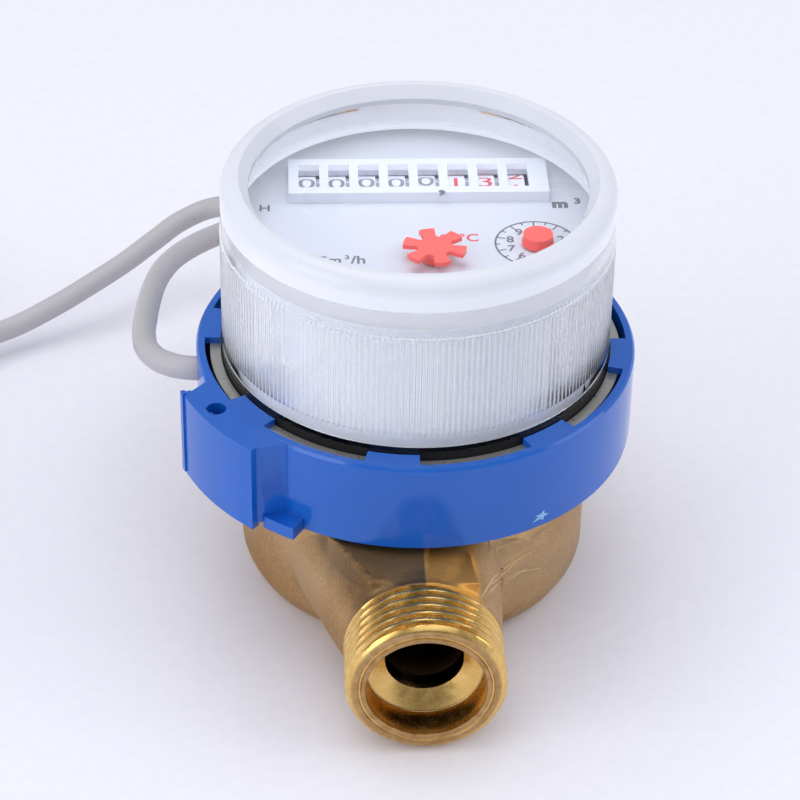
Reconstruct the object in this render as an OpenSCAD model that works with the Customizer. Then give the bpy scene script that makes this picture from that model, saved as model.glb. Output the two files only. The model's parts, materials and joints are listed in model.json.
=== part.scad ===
// Single-jet water meter with a dry dial, a magnetic drive and a pulse lead.
// Frame: origin on the flat bottom of the bowl, on the dial's axis. +Z is up, the pipe runs along Y.

/* [Pipe] */
// Length of the body between its two end faces
body_length = 110; // [108:1:130]
// Height of the pipe axis above the bottom of the bowl
pipe_z = 13.8; // [13.5:0.1:14.5]
// Major diameter of the pipe thread
thread_d = 26.44; // [25.6:0.02:26.9]
// Length of each threaded spigot
thread_length = 11; // [9:0.5:12]
// Chamfer at the end of the thread
thread_chamfer = 1.1; // [0.5:0.1:1.5]
// Diameter of the water bore
bore_d = 13; // [11:0.5:14]
// Diameter of the sealing recess in each end face
seat_d = 19.6; // [18:0.1:20.5]
// Depth of the sealing recess
seat_depth = 5.8; // [4:0.1:6.4]
// Depth of the cone between the recess and the bore
cone_depth = 2; // [1:0.1:2.6]
// Diameter of the jet passage into the chamber
jet_d = 9; // [7:0.5:10]

/* [Bowl] */
// Outer radius of the bowl
bowl_r = 30.1; // [29.5:0.1:31]
// Rounding of the bowl's bottom edge
bowl_corner = 6; // [3:0.5:9]
// Thickness of the bowl's floor
floor_t = 3.5; // [3:0.1:4]
// Wall of the bowl's mouth
bowl_wall = 2.1; // [1.7:0.1:2.4]
// Width of the ledge that carries the pressure plate
ledge_w = 2; // [1.6:0.1:2.4]
// Height of the ledge that carries the pressure plate
plate_z = 24; // [23.6:0.1:24.4]
// Thickness of the collar that the locking ring grips
collar_t = 3; // [2:0.1:3.6]
// Height of the body's top rim
rim_z = 38; // [37.8:0.1:38.2]

/* [Locking ring] */
// Outer radius of the locking ring
ring_r = 37.35; // [37:0.05:38.2]
// Wall of the locking ring
ring_wall = 1.45; // [1.2:0.05:1.6]
// Clearance between the ring's wall and the collar
collar_gap = 0.9; // [0.6:0.1:1.2]
// Height of the locking ring's lower edge
ring_z = 28.9; // [28.5:0.1:29.2]
// Thickness of the lip under the collar
lip_t = 1.9; // [1.4:0.1:2.1]
// Thickness of the tabs over the washer
tab_t = 1.25; // [0.9:0.05:1.6]
// Number of tabs
tab_count = 8; // [4:1:12]
// Width of a tab, in degrees
tab_width = 14.5; // [10:0.5:18]
// Width of the clasp's face plate, in degrees
clasp_width = 27.5; // [24:0.5:30]
// How far the clasp stands out from the ring
clasp_depth = 4.9; // [4:0.1:6]

/* [Register] */
// Width of the base's ledge under the washer
flange_ledge = 1.8; // [1.6:0.1:2]
// Height of the flange, from the rim to the washer
flange_h = 4.6; // [4.4:0.1:5]
// Thickness of the steel washer
washer_t = 1.1; // [0.8:0.05:1.3]
// Thickness of the base floor between the magnets
base_floor = 1.2; // [1:0.1:1.4]
// Height of the black gasket under the clear case
gasket_h = 1.4; // [1:0.1:1.8]
// Wall of the clear case
case_wall = 2.55; // [2.3:0.05:2.6]
// Height of the clear case's shoulder, where the bezel sits
shoulder_z = 72.15; // [72:0.05:73]
// Thickness of the window at the top of the case
window_t = 2.2; // [1.5:0.1:2.4]
// Height of the ribbed band
rib_h = 18; // [12:0.5:19]
// Number of ribs round the case
rib_count = 218; // [60:2:240]
// Depth of the grooves between the ribs
rib_depth = 0.14; // [0.1:0.02:0.4]
// Width of the bezel, from its outer edge to its opening
bezel_w = 4.65; // [4.2:0.05:5.6]

/* [Dial] */
// Height of the dial face
dial_z = 67.95; // [67.6:0.05:68.2]
// Thickness of the dial plate
dial_t = 1; // [0.8:0.05:1]
// Height of the counter box above the dial
counter_h = 2; // [1.8:0.05:2.2]
// Number of number wheels
wheel_count = 8; // [8:1:8]
// Spacing of the number wheels
wheel_pitch = 5.034; // [5:0.002:5.05]
// Radius of the number wheels
wheel_r = 8; // [7.9:0.05:8]
// Radius of the red star wheel
star_r = 5.2; // [4:0.1:5.6]
// Radius of the red pointer disc
pointer_r = 2.45; // [2:0.05:3]

/* [Clearances] */
// Radial clearance of running shafts
run_fit = 0.08; // [0.06:0.01:0.1]
// Clearance of pieces that are put into each other
seat_fit = 0.2; // [0.15:0.01:0.2]
// Air gap between moving and fixed pieces
air_gap = 0.3; // [0.2:0.05:0.4]

/* [Hidden] */
$fn = 64;
half_length = body_length/2;

// Radii from the bowl's wall inward, and from the locking ring inward to the dial
mouth_r = bowl_r - bowl_wall;
chamber_r = mouth_r - ledge_w;
collar_r = ring_r - ring_wall - collar_gap;
collar_step = 2.5;
flange_r = collar_r - seat_fit;
base_r = flange_r - flange_ledge;
case_r = base_r - 0.05;
case_bore_r = case_r - case_wall;
bezel_r = case_r - seat_fit;
opening_r = bezel_r - bezel_w;
dial_r = case_bore_r - seat_fit;

// Heights of the stack from the body's rim to the bezel
flange_top = rim_z + flange_h;
washer_top = flange_top + washer_t;
ring_top = washer_top + tab_t;
base_top = washer_top + 0.1;
case_z = base_top + gasket_h;
window_z = shoulder_z + 0.25;
case_top = window_z + window_t;
base_bore_r = 23;
base_floor_z = rim_z + 0.4;
shell_z = 61;
shell_wall = 0.9;

// Pressure plate and its dome over the impeller magnet
plate_t = 3;
plate_r = mouth_r - 0.1;
dome_r = 9;
dome_bore_r = 7.6;
dome_top = rim_z;
dome_ceiling = 1.6;
seal_r = 0.7;
clamp_h = 6;
clamp_bore_r = 20;

// Impeller
pivot_r = 1;
pivot_top = 12;
vane_r = chamber_r - 1.5;
vane_z = floor_t + 2;
vane_top = plate_z - 2.5;
vane_count = 8;
vane_t = 1.2;
spindle_r = 2.6;
magnet_r = 6.6;
magnet_z = vane_top + 8.8;
magnet_h = 4;
bush_r = 2;
bush_h = 2;
bush_z = dome_top - dome_ceiling + 0.8 - bush_h;

// Gear train: every arbor's place in plan, and the tooth counts
rotor_teeth = 10;
star_gear_teeth = 40;
star_pinion_teeth = 10;
middle_gear_teeth = 30;
middle_pinion_teeth = 12;
pointer_gear_teeth = 30;
transfer_teeth = 19;
star_at = [2.15, -11.8];
pointer_at = [19.3, -7.3];
first_module = 2*norm(star_at)/(rotor_teeth + star_gear_teeth);
second_module = 0.55;
third_module = 0.5;
second_distance = second_module*(star_pinion_teeth + middle_gear_teeth)/2;
third_distance = third_module*(middle_pinion_teeth + pointer_gear_teeth)/2;
middle_at = meeting_point(star_at, second_distance, pointer_at, third_distance);
arbor_r = 0.7;
star_arbor_r = 0.9;
rotor_pin_r = 0.75;
plate_low_z = base_top;
plate_low_t = 1.4;
plate_low_top = plate_low_z + plate_low_t;
pivot_floor = plate_low_z + 0.6;
arbor_foot = pivot_floor + 0.2;
gear_t = 1.4;
first_level = plate_low_top + 0.8;
second_level = first_level + 3;
third_level = second_level + 3;
plate_up_z = 58;
plate_up_t = 1.2;
plate_r_in = dial_r - shell_wall - 0.2;
pillar_r = 1.5;
pillars = [[13, -24], [-13, -22], [-20, 0.5]];

// Counter: the number wheels lie along X under the counter box
wheel_y = 11.4;
wheel_z = dial_z - 7.45;
first_wheel_x = -17.95;
wheel_gear_teeth = 20;
wheel_module = 0.7;
carry_teeth = 8;
carry_module = wheel_module;
carry_distance = wheel_module*(wheel_gear_teeth + carry_teeth)/2;
carry_z = wheel_z - carry_distance;
wheel_shaft_r = 1;
carry_shaft_r = 0.8;
rim_left = -1.9;
rim_right = 1.2;
gear_right = 2.1;
carry_left = gear_right + 0.2 - wheel_pitch;
lock_r = wheel_r - 0.55;
window_w = 3.55;
window_len = 7.1;
box_front = wheel_y - 5.45;
box_back = wheel_y + 5.5;
box_left = first_wheel_x - 3.45;
box_right = first_wheel_x + (wheel_count - 1)*wheel_pitch + 5;
box_wall = 0.5;
box_roof = 1.1;
bracket_t = 1.5;
bracket_left = first_wheel_x + carry_left - air_gap - bracket_t;
digits = [0, 0, 0, 0, 0, 1, 3, 2];

// Worm: two starts drive the twenty teeth of the first number wheel, ten turns to one
worm_starts = 2;
worm_pitch_r = 2.2;
worm_tip_r = worm_pitch_r + 0.5;
worm_root_r = worm_pitch_r - 0.75;
worm_h = 7;
drive_module = 0.58;
drive_t = 0.9;
drive_offset = rim_right + air_gap + worm_tip_r;
drive_right = drive_offset + drive_t/2;
bracket_right = wheel_x(wheel_count - 1) + drive_right + air_gap + 0.2;
shaft_length = bracket_right + bracket_t - bracket_left;
worm_lead = worm_starts*PI*drive_module;
worm_at = [wheel_x(wheel_count - 1) + drive_offset,
           wheel_y - drive_module*wheel_gear_teeth/2 - worm_pitch_r];
transfer_module = norm(pointer_at - worm_at)/transfer_teeth;

// Star, pointer and pulse parts
star_top = dial_z + 2.9;
star_t = 0.75;
pointer_top = dial_z + 2.1;
pulse_r = 1;
pulse_h = 1.8;
pulse_offset = 5.4;
board_t = 1;
board_low = [11, -17];
board_high = [22, -10];
reed_r = 0.9;
reed_length = 8;

// Clasp and cable exit, by the angle round the dial's axis
clasp_angle = -145;
cable_r = 2.1;
cable_y = -1.7;
cable_z = rim_z + flange_h/2;
cable_in_x = -22.4;
grommet_w = 6;
tab_first = -98.5;
lead_r = 0.6;
lead_at = [13, -16];

// The cable's route, from inside the grommet to where the coil takes it up
cable_route = [
    [-22.4, -1.7, 40.3], [-30, -1.7, 40.3], [-38, -1.7, 40.3], [-42.5, 0.5, 39.8], [-45.6, 5, 39],
    [-46.8, 11, 38], [-46.8, 19, 36.8], [-46.4, 27, 35.4], [-45.6, 35, 33.8], [-44, 43, 32],
    [-41.4, 50.5, 30], [-37.8, 57.5, 28], [-33.6, 64, 26], [-30.4, 70, 24], [-29.2, 76, 22],
    [-31, 82, 20], [-36, 85.6, 18], [-42.5, 84, 16], [-48, 79.5, 14.2], [-53.5, 75, 12.2],
    [-60, 71, 9.8], [-68, 66.6, 7], [-77, 61.4, 5], [-86, 55.6, 5], [-94, 50.4, 6.2]
];
cable_sides = 10;
coil_r = 23;
coil_rows = 3;
coil_layers = 2;
coil_w = 2*cable_r*coil_rows;
coil_h = 2*cable_r*coil_layers;
tie_t = 0.8;
tie_w = 3;
tie_angle = 100;
outer_turn_r = coil_r + (coil_rows - 1)*cable_r;
route_end = cable_route[len(cable_route) - 1];
route_way = unit(plan(route_end - cable_route[len(cable_route) - 2]));
entry_run = 11;
coil_at = plan(route_end) + entry_run*route_way + outer_turn_r*[route_way[1], -route_way[0]];
core_r = 0.7;
core_length = 12;
tail_start = 15.2;
tail_end = 22;

brass = [0.66, 0.5, 0.28];
blue = [0.2, 0.41, 0.8];
white = [0.93, 0.94, 0.97];
coral = [0.98, 0.49, 0.46];
steel = [0.72, 0.73, 0.75];

function unit(v) = v/norm(v);
function plan(p) = [p[0], p[1]];

// Place of number wheel i along X, counted from the left
function wheel_x(i) = first_wheel_x + i*wheel_pitch;

// The point at distance r1 from a and r2 from b, on the left of the way from a to b
function meeting_point(a, r1, b, r2) =
    let (d = norm(b - a), u = (b - a)/d,
         along = (r1*r1 - r2*r2 + d*d)/(2*d), aside = sqrt(r1*r1 - along*along))
    a + along*u + aside*[-u[1], u[0]];

function angle_to(a, b) = atan2(b[1] - a[1], b[0] - a[0]);

// The turn that puts a gear of z2 teeth in mesh with one of z1 teeth turned by a1, along the angle phi
function mesh_turn(a1, z1, z2, phi) = phi + 180 + (phi - a1)*z1/z2 + 180/z2;

rotor_turn = 0;
star_turn = mesh_turn(rotor_turn, rotor_teeth, star_gear_teeth, angle_to([0, 0], star_at));
middle_turn = mesh_turn(star_turn, star_pinion_teeth, middle_gear_teeth, angle_to(star_at, middle_at));
pointer_turn = mesh_turn(middle_turn, middle_pinion_teeth, pointer_gear_teeth,
                         angle_to(middle_at, pointer_at));
transfer_turn = mesh_turn(pointer_turn, transfer_teeth, transfer_teeth, angle_to(pointer_at, worm_at));
worm_z = wheel_z - worm_h/2;
worm_turn = -360*(worm_h/2)/worm_lead;

// Ring with a rectangular section between two radii and two heights
module tube(r1, r2, z1, z2) {
    translate([0, 0, z1]) difference() {
        cylinder(r = r2, h = z2 - z1);
        translate([0, 0, -1]) cylinder(r = r1, h = z2 - z1 + 2);
    }
}

// Sector of such a ring, centred on an angle
module sector(r1, r2, z1, z2, middle, width) {
    rotate([0, 0, middle - width/2])
        rotate_extrude(angle = width) translate([r1, z1]) square([r2 - r1, z2 - z1]);
}

// Outline of a spur gear with straight flanks and a tooth on the x axis
module gear_outline(m, teeth, tooth_step = 1) {
    pitch_r = m*teeth/2;
    root_r = pitch_r - 1.15*m;
    tip_r = pitch_r + 0.8*m;
    step = 360/teeth;
    polygon([for (i = [0 : teeth - 1], corner = [[0, -0.27], [1, -0.1], [1, 0.1], [0, 0.27]])
        let (is_tooth = i % tooth_step == 0,
             r = corner[0] == 1 && is_tooth ? tip_r : root_r,
             a = (i + corner[1])*step)
        r*[cos(a), sin(a)]]);
}

module spur_gear(m, teeth, z, t, turn) {
    translate([0, 0, z]) rotate([0, 0, turn]) linear_extrude(height = t) gear_outline(m, teeth);
}

// Shape drawn about Z, laid along X at the number wheels
module along_x(x, y, z) {
    translate([x, y, z]) rotate([0, 90, 0]) children();
}

// One end of the body: spigot, flared neck and casting marks, toward -Y
module body_end() {
    neck_end = half_length - thread_length;
    translate([0, 0, pipe_z]) rotate([90, 0, 0]) {
        translate([0, 0, neck_end - 0.5]) cylinder(d = thread_d, h = thread_length + 0.5 - thread_chamfer);
        translate([0, 0, half_length - thread_chamfer])
            cylinder(d1 = thread_d, d2 = thread_d - 2*thread_chamfer, h = thread_chamfer);
    }
    hull() {
        translate([0, -neck_end + 0.8, pipe_z]) rotate([90, 0, 0])
            cylinder(r = thread_d/2 - 0.35, h = 0.8, $fn = 40);
        for (side = [-1, 1])
            translate([side*9.5, -bowl_r + 12, pipe_z + 0.4]) rotate([90, 0, 0])
                cylinder(r = 13.2, h = 1, $fn = 32);
    }
    // Raised casting land left of the parting line, and the small pad right of it
    hull() {
        translate([-15.5, -bowl_r - 2.6, ring_z - 9]) cube([16, 6, 8.4]);
        translate([-9, -neck_end + 1.2, pipe_z + 8]) cube([9.5, 1, 4.4]);
    }
    translate([3.4, -neck_end + 1, pipe_z + 5]) cube([5.6, 7.5, 7.2]);
    // Ridge that sweeps from the neck round the bowl, under the locking ring
    rotate([0, 0, -76]) rotate_extrude(angle = 50)
        translate([bowl_r - 0.1, ring_z - 7.4]) circle(r = 1.15, $fn = 24);
}

// Water way of one end, toward -Y
module body_end_bore() {
    jet_start = half_length - 21;
    jet_way = [10, 18];
    translate([0, 0, pipe_z]) rotate([90, 0, 0]) {
        translate([0, 0, jet_start]) cylinder(d = bore_d, h = half_length);
        translate([0, 0, half_length - seat_depth]) cylinder(d = seat_d, h = seat_depth + 1);
        translate([0, 0, half_length - seat_depth - cone_depth])
            cylinder(d1 = bore_d, d2 = seat_d - 0.6, h = cone_depth + 0.001);
        tube_groove_r = (thread_d + seat_d)/4 - 0.6;
        translate([0, 0, half_length - 0.4]) difference() {
            cylinder(r = tube_groove_r + 0.35, h = 1);
            translate([0, 0, -1]) cylinder(r = tube_groove_r - 0.35, h = 3);
        }
    }
    translate([0, -jet_start - 2, pipe_z]) rotate([-90, 0, -atan2(jet_way[0], jet_way[1])])
        cylinder(d = jet_d, h = norm(jet_way) + 2);
}

module brass_body() {
    collar_z = ring_z + lip_t + 0.2;
    color(brass) difference() {
        union() {
            rotate_extrude() {
                square([bowl_r - bowl_corner, plate_z]);
                translate([0, bowl_corner]) square([bowl_r, collar_z - bowl_corner]);
                intersection() {
                    translate([bowl_r - bowl_corner, bowl_corner]) circle(r = bowl_corner);
                    square([bowl_r + 1, plate_z]);
                }
                translate([0, collar_z]) square([collar_r, collar_t]);
                translate([0, collar_z]) square([collar_r - collar_step, rim_z - collar_z]);
            }
            body_end();
            rotate([0, 0, 180]) body_end();
        }
        translate([0, 0, floor_t]) cylinder(r = chamber_r, h = rim_z);
        translate([0, 0, plate_z]) cylinder(r = mouth_r, h = rim_z);
        translate([0, 0, floor_t - 2]) cylinder(r = pivot_r, h = 4);
        body_end_bore();
        mirror([0, 1, 0]) body_end_bore();
    }
}

// Perforated cup in the far spigot
module inlet_strainer() {
    cup_r = bore_d/2 - 0.1;
    cup_length = 12;
    flange_t = 1;
    color([0.85, 0.85, 0.82]) translate([0, half_length - seat_depth, pipe_z]) rotate([-90, 0, 0])
    difference() {
        union() {
            cylinder(d = seat_d - 0.2, h = flange_t);
            translate([0, 0, -cup_length]) cylinder(r = cup_r, h = cup_length);
        }
        translate([0, 0, -cup_length + 1]) cylinder(r = cup_r - 0.9, h = cup_length + 2);
        for (a = [0 : 60 : 300])
            rotate([0, 0, a]) translate([cup_r*0.55, 0, -cup_length - 1]) cylinder(r = 0.9, h = 3);
        for (a = [0 : 45 : 135])
            rotate([0, 0, a]) translate([-cup_r - 1, -0.7, -cup_length + 2])
                cube([2*cup_r + 2, 1.4, cup_length - 6]);
    }
}

// Steel pin that the impeller turns on
module pivot_pin() {
    color(steel) translate([0, 0, floor_t - 2]) cylinder(r = pivot_r, h = pivot_top - floor_t + 2);
}

module impeller() {
    hub_r = 4;
    color([0.9, 0.9, 0.86]) difference() {
        union() {
            translate([0, 0, vane_z]) cylinder(r = hub_r, h = vane_top - vane_z);
            for (i = [0 : vane_count - 1])
                rotate([0, 0, i*360/vane_count]) translate([hub_r - 1, -vane_t/2, vane_z])
                    cube([vane_r - hub_r + 1, vane_t, vane_top - vane_z]);
            translate([0, 0, vane_top]) cylinder(r = spindle_r, h = magnet_z + magnet_h - vane_top);
            translate([0, 0, magnet_z - 0.8]) cylinder(r = magnet_r, h = 0.8);
            translate([0, 0, magnet_z + magnet_h])
                cylinder(r = pivot_r, h = bush_z + bush_h - magnet_z - magnet_h - 0.4);
        }
        translate([0, 0, vane_z - 1]) cylinder(r = pivot_r + run_fit, h = pivot_top - vane_z + 1.2);
    }
}

module impeller_magnet() {
    color([0.3, 0.3, 0.32]) tube(spindle_r, magnet_r, magnet_z, magnet_z + magnet_h);
}

module impeller_bush() {
    color([0.75, 0.2, 0.25]) tube(pivot_r + run_fit, bush_r, bush_z, bush_z + bush_h);
}

// Plate that closes the wet chamber, with a dome over the magnet
module pressure_plate() {
    groove = 2*seal_r;
    color([0.82, 0.82, 0.8]) difference() {
        union() {
            translate([0, 0, plate_z]) cylinder(r = plate_r, h = plate_t);
            translate([0, 0, plate_z]) cylinder(r = dome_r, h = dome_top - plate_z);
        }
        translate([0, 0, plate_z - 1]) cylinder(r = dome_bore_r, h = dome_top - dome_ceiling - plate_z + 1);
        translate([0, 0, bush_z]) cylinder(r = bush_r, h = bush_h);
        tube(mouth_r - groove, mouth_r + 1, plate_z + (plate_t - groove)/2, plate_z + (plate_t + groove)/2);
    }
}

module plate_seal() {
    color([0.1, 0.1, 0.1]) translate([0, 0, plate_z + plate_t/2])
        rotate_extrude() translate([mouth_r - seal_r, 0]) circle(r = seal_r);
}

// Threaded ring that presses the plate down, with four key slots
module clamp_ring() {
    color(brass) difference() {
        tube(clamp_bore_r, plate_r, plate_z + plate_t, plate_z + plate_t + clamp_h);
        for (a = [45 : 90 : 315])
            rotate([0, 0, a]) translate([clamp_bore_r - 1, -2, plate_z + plate_t + clamp_h - 2.5])
                cube([4, 4, 3]);
    }
}

// Clasp box on the ring: a splayed block, a curved face plate and a small foot
module clasp() {
    face_r = ring_r + clasp_depth;
    face_t = 1.5;
    mid_r = ring_r - ring_wall/2;
    half_w = (face_r - face_t)*sin(clasp_width/2);
    rotate([0, 0, clasp_angle]) {
        translate([0, 0, ring_z + 0.8]) linear_extrude(height = ring_top - ring_z - 0.9)
            polygon([[mid_r - 1.2, -half_w - 0.9], [face_r - 1.9, -half_w + 0.3],
                     [face_r - 1.9, half_w - 0.1], [mid_r - 2.2, half_w + 2.6]]);
        sector(face_r - face_t, face_r, ring_z, ring_top + 0.1, 0, clasp_width);
        // Upright ribs at the two edges of the face plate
        for (side = [-1, 1])
            sector(face_r - 0.5, face_r + 0.3, ring_z + 0.35, ring_top + 0.3, side*(clasp_width/2 - 0.5), 1.5);
        sector(mid_r, face_r - 1.6, ring_z, ring_z + 2.3, clasp_width/2 + 5.5, 8.5);
    }
}

// Split ring that clips the register to the body
module locking_ring() {
    inner_r = ring_r - ring_wall;
    lip_r = bowl_r + 0.7;
    hole_r = 1.65;
    color(blue) difference() {
        union() {
            rotate_extrude() {
                polygon([[lip_r, ring_z], [ring_r - 0.15, ring_z], [ring_r, ring_z + 1],
                         [ring_r, ring_top - 0.5], [ring_r - 0.35, ring_top], [inner_r, ring_top],
                         [inner_r, ring_z + lip_t], [lip_r, ring_z + lip_t]]);
            }
            for (i = [0 : tab_count - 1])
                sector(base_r + 0.25, inner_r + 0.5, washer_top, ring_top,
                       tab_first + i*360/tab_count, tab_width);
            difference() {
                clasp();
                translate([0, 0, ring_z - 1]) cylinder(r = inner_r + 0.3*ring_wall, h = ring_top - ring_z + 3);
            }
        }
        rotate([0, 0, clasp_angle - 4.5]) translate([ring_r + 1.7, 0, ring_top - 6])
            cylinder(r = hole_r, h = 8);
        translate([-ring_r - 2, cable_y, cable_z]) rotate([0, 90, 0]) cylinder(r = cable_r + 0.15, h = 6);
    }
}

module retaining_washer() {
    color(steel) tube(base_r + 0.2, collar_r, flange_top, washer_top);
}

// Black base of the register: a thin floor between the magnets and a flange under the washer
module register_base() {
    color([0.12, 0.12, 0.13]) difference() {
        union() {
            tube(base_bore_r, flange_r, rim_z, flange_top);
            tube(base_bore_r, base_r, flange_top, base_top);
            translate([0, 0, base_floor_z]) cylinder(r = base_bore_r, h = base_floor);
        }
        translate([0, 0, base_floor_z + 0.4]) cylinder(r = rotor_pin_r, h = 4);
        translate([-flange_r - 1, cable_y - grommet_w/2, rim_z - 1])
            cube([flange_r - base_bore_r + 4, grommet_w, flange_h + 1]);
    }
}

module case_gasket() {
    color([0.05, 0.05, 0.05]) tube(case_bore_r + 0.4, base_r, base_top, case_z);
}

// Grooves between the ribs, as a sleeve to be cut from the case; each rib keeps a narrow land on its crest
module rib_grooves(z, h) {
    step = 360/rib_count;
    crest_r = case_r + 0.2*rib_depth;
    translate([0, 0, z]) difference() {
        cylinder(r = case_r + 1, h = h);
        translate([0, 0, -1]) linear_extrude(height = h + 2)
            polygon([for (i = [0 : rib_count - 1], half = [0, 1])
                let (r = half == 0 ? crest_r : case_r - rib_depth, a = (i + half/2)*step)
                r*[cos(a), sin(a)]]);
    }
}

// Clear cup turned upside down: window, ribbed wall and foot
module register_case() {
    rib_z = case_z + 3.4;
    bead_z = rib_z + rib_h;
    lug_angle = -131;
    lug_w = 4;
    color([0.86, 0.89, 0.94, 0.45]) difference() {
        rotate_extrude() difference() {
            union() {
                translate([0, case_z]) square([case_r, bead_z + 0.6 - case_z]);
                translate([0, case_z]) square([case_r - 0.25, shoulder_z - case_z]);
                translate([0, case_z]) square([bezel_r - 1.15, case_top - case_z]);
            }
            translate([-1, case_z - 1]) square([case_bore_r + 1, window_z - case_z + 1]);
        }
        difference() {
            rib_grooves(rib_z, rib_h);
            rotate([0, 0, lug_angle]) translate([0, -lug_w/2, bead_z - 10]) cube([case_r + 2, lug_w, 12]);
        }
    }
}

// White ring with a domed top, pressed over the shoulder of the clear case
module bezel_ring() {
    dome = 2.6;
    crown_r = bezel_r - dome;
    crown_z = case_top + 0.4;
    color(white) rotate_extrude() difference() {
        union() {
            translate([opening_r, case_top]) square([bezel_r - opening_r, crown_z - case_top]);
            translate([bezel_r - 1.15, shoulder_z]) square([1.15, crown_z - shoulder_z]);
            intersection() {
                translate([crown_r, crown_z]) circle(r = dome);
                translate([opening_r, crown_z]) square([bezel_r - opening_r, dome]);
            }
        }
        // Slope that leads the eye down to the window
        polygon([[opening_r - 1, crown_z + 0.6], [opening_r, crown_z + 0.6],
                 [opening_r + 1.6, crown_z + dome], [opening_r - 1, crown_z + dome + 1]]);
    }
}

// Light grey shell round the mechanism, under the dial's skirt
module inner_shell() {
    color([0.8, 0.82, 0.86]) tube(dial_r - shell_wall, dial_r, base_top, shell_z);
}

// Lower gear plate with the pillars, and the brackets of the counter
module gear_frame() {
    bracket_w = 3.4;
    bracket_h = wheel_z + 3 - plate_low_z;
    color([0.9, 0.9, 0.9]) difference() {
        union() {
            translate([0, 0, plate_low_z]) cylinder(r = plate_r_in, h = plate_low_t);
            for (p = pillars)
                translate([p[0], p[1], plate_low_z]) cylinder(r = pillar_r, h = plate_up_z - plate_low_z);
            for (x = [bracket_left, bracket_right])
                translate([x, wheel_y - bracket_w/2, plate_low_z]) cube([bracket_t, bracket_w, bracket_h]);
        }
        translate([0, 0, plate_low_z - 1]) cylinder(r = 2.4, h = plate_low_t + 2);
        translate([star_at[0], star_at[1], pivot_floor]) cylinder(r = star_arbor_r + run_fit, h = 3);
        for (p = [middle_at, pointer_at, worm_at])
            translate([p[0], p[1], pivot_floor]) cylinder(r = arbor_r + run_fit, h = 3);
        translate([lead_at[0] - 0.4, lead_at[1], plate_low_z - 1])
            cylinder(r = lead_r + 0.5, h = plate_low_t + 2);
        along_x(bracket_left - 1, wheel_y, wheel_z) cylinder(r = wheel_shaft_r, h = shaft_length + 2);
        along_x(bracket_left - 1, wheel_y, carry_z) cylinder(r = carry_shaft_r, h = shaft_length + 2);
    }
}

// Upper gear plate, cut back in front of the number wheels
module upper_plate() {
    plate_back = wheel_y - wheel_r - 1;
    color([0.9, 0.9, 0.9]) difference() {
        translate([0, 0, plate_up_z]) cylinder(r = plate_r_in - 0.2, h = plate_up_t);
        translate([-plate_r_in, plate_back, plate_up_z - 1])
            cube([2*plate_r_in, plate_r_in - plate_back, plate_up_t + 2]);
        translate([star_at[0], star_at[1], plate_up_z - 1])
            cylinder(r = star_arbor_r + run_fit, h = plate_up_t + 2);
        for (p = [middle_at, pointer_at])
            translate([p[0], p[1], plate_up_z - 1]) cylinder(r = arbor_r + run_fit, h = plate_up_t + 2);
        translate([worm_at[0], worm_at[1], plate_up_z - 1])
            cylinder(r = worm_tip_r + 2*air_gap, h = plate_up_t + 2);
    }
}

// Dial plate with its skirt, its posts and the raised counter box
module dial_plate() {
    plate_bottom = dial_z - dial_t;
    boss_r = 1.6;
    boss_z = worm_z + worm_h + 0.7;
    slot_front = box_front + box_wall;
    slot_back = box_back - box_wall;
    color(white) difference() {
        union() {
            translate([0, 0, plate_bottom]) cylinder(r = dial_r, h = dial_t);
            tube(dial_r - shell_wall, dial_r, shell_z, dial_z);
            for (p = pillars)
                translate([p[0], p[1], plate_up_z + plate_up_t])
                    cylinder(r = pillar_r, h = dial_z - dial_t/2 - plate_up_z - plate_up_t);
            translate([worm_at[0], worm_at[1], boss_z]) cylinder(r = boss_r, h = dial_z - dial_t/2 - boss_z);
            translate([box_left, box_front, plate_bottom])
                cube([box_right - box_left, box_back - box_front, dial_t + counter_h]);
        }
        translate([box_left + box_wall, slot_front, plate_bottom - 1])
            cube([box_right - box_left - 2*box_wall, slot_back - slot_front,
                  dial_t + counter_h - box_roof + 1]);
        for (i = [0 : wheel_count - 1])
            translate([wheel_x(i) - window_w/2, wheel_y - window_len/2, dial_z])
                cube([window_w, window_len, counter_h + 1]);
        translate([star_at[0], star_at[1], plate_bottom - 1])
            cylinder(r = star_arbor_r + run_fit, h = dial_t + 2);
        translate([pointer_at[0], pointer_at[1], plate_bottom - 1])
            cylinder(r = arbor_r + run_fit, h = dial_t + 2);
        translate([worm_at[0], worm_at[1], boss_z - 1]) cylinder(r = arbor_r + run_fit, h = 2.6);
    }
}

module rotor_pin() {
    color(steel) translate([0, 0, base_floor_z + 0.4])
        cylinder(r = rotor_pin_r, h = first_level + gear_t - base_floor_z);
}

// Rotor that follows the impeller's magnet, with the first pinion
module drive_rotor() {
    rotor_z = base_floor_z + base_floor + 0.2;
    color([0.95, 0.95, 0.9]) difference() {
        union() {
            translate([0, 0, rotor_z]) cylinder(r = 1.8, h = first_level - 0.3 - rotor_z);
            translate([0, 0, plate_low_z - 1]) cylinder(r = 6, h = 0.6);
            spur_gear(first_module, rotor_teeth, first_level - 0.4, gear_t + 0.8, rotor_turn);
        }
        translate([0, 0, rotor_z - 1]) cylinder(r = rotor_pin_r + run_fit, h = 12);
    }
}

module rotor_magnet() {
    color([0.3, 0.3, 0.32]) tube(1.8, 6, base_floor_z + base_floor + 0.3, plate_low_z - 1);
}

// Arbor under the star: the first wheel of the train and its pinion
module star_gear() {
    color([0.95, 0.95, 0.9]) translate([star_at[0], star_at[1], 0]) {
        translate([0, 0, arbor_foot]) cylinder(r = star_arbor_r, h = star_top - 0.6 - arbor_foot);
        spur_gear(first_module, star_gear_teeth, first_level, gear_t, star_turn);
        spur_gear(second_module, star_pinion_teeth, second_level - 0.4, gear_t + 0.8, star_turn);
    }
}

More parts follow.
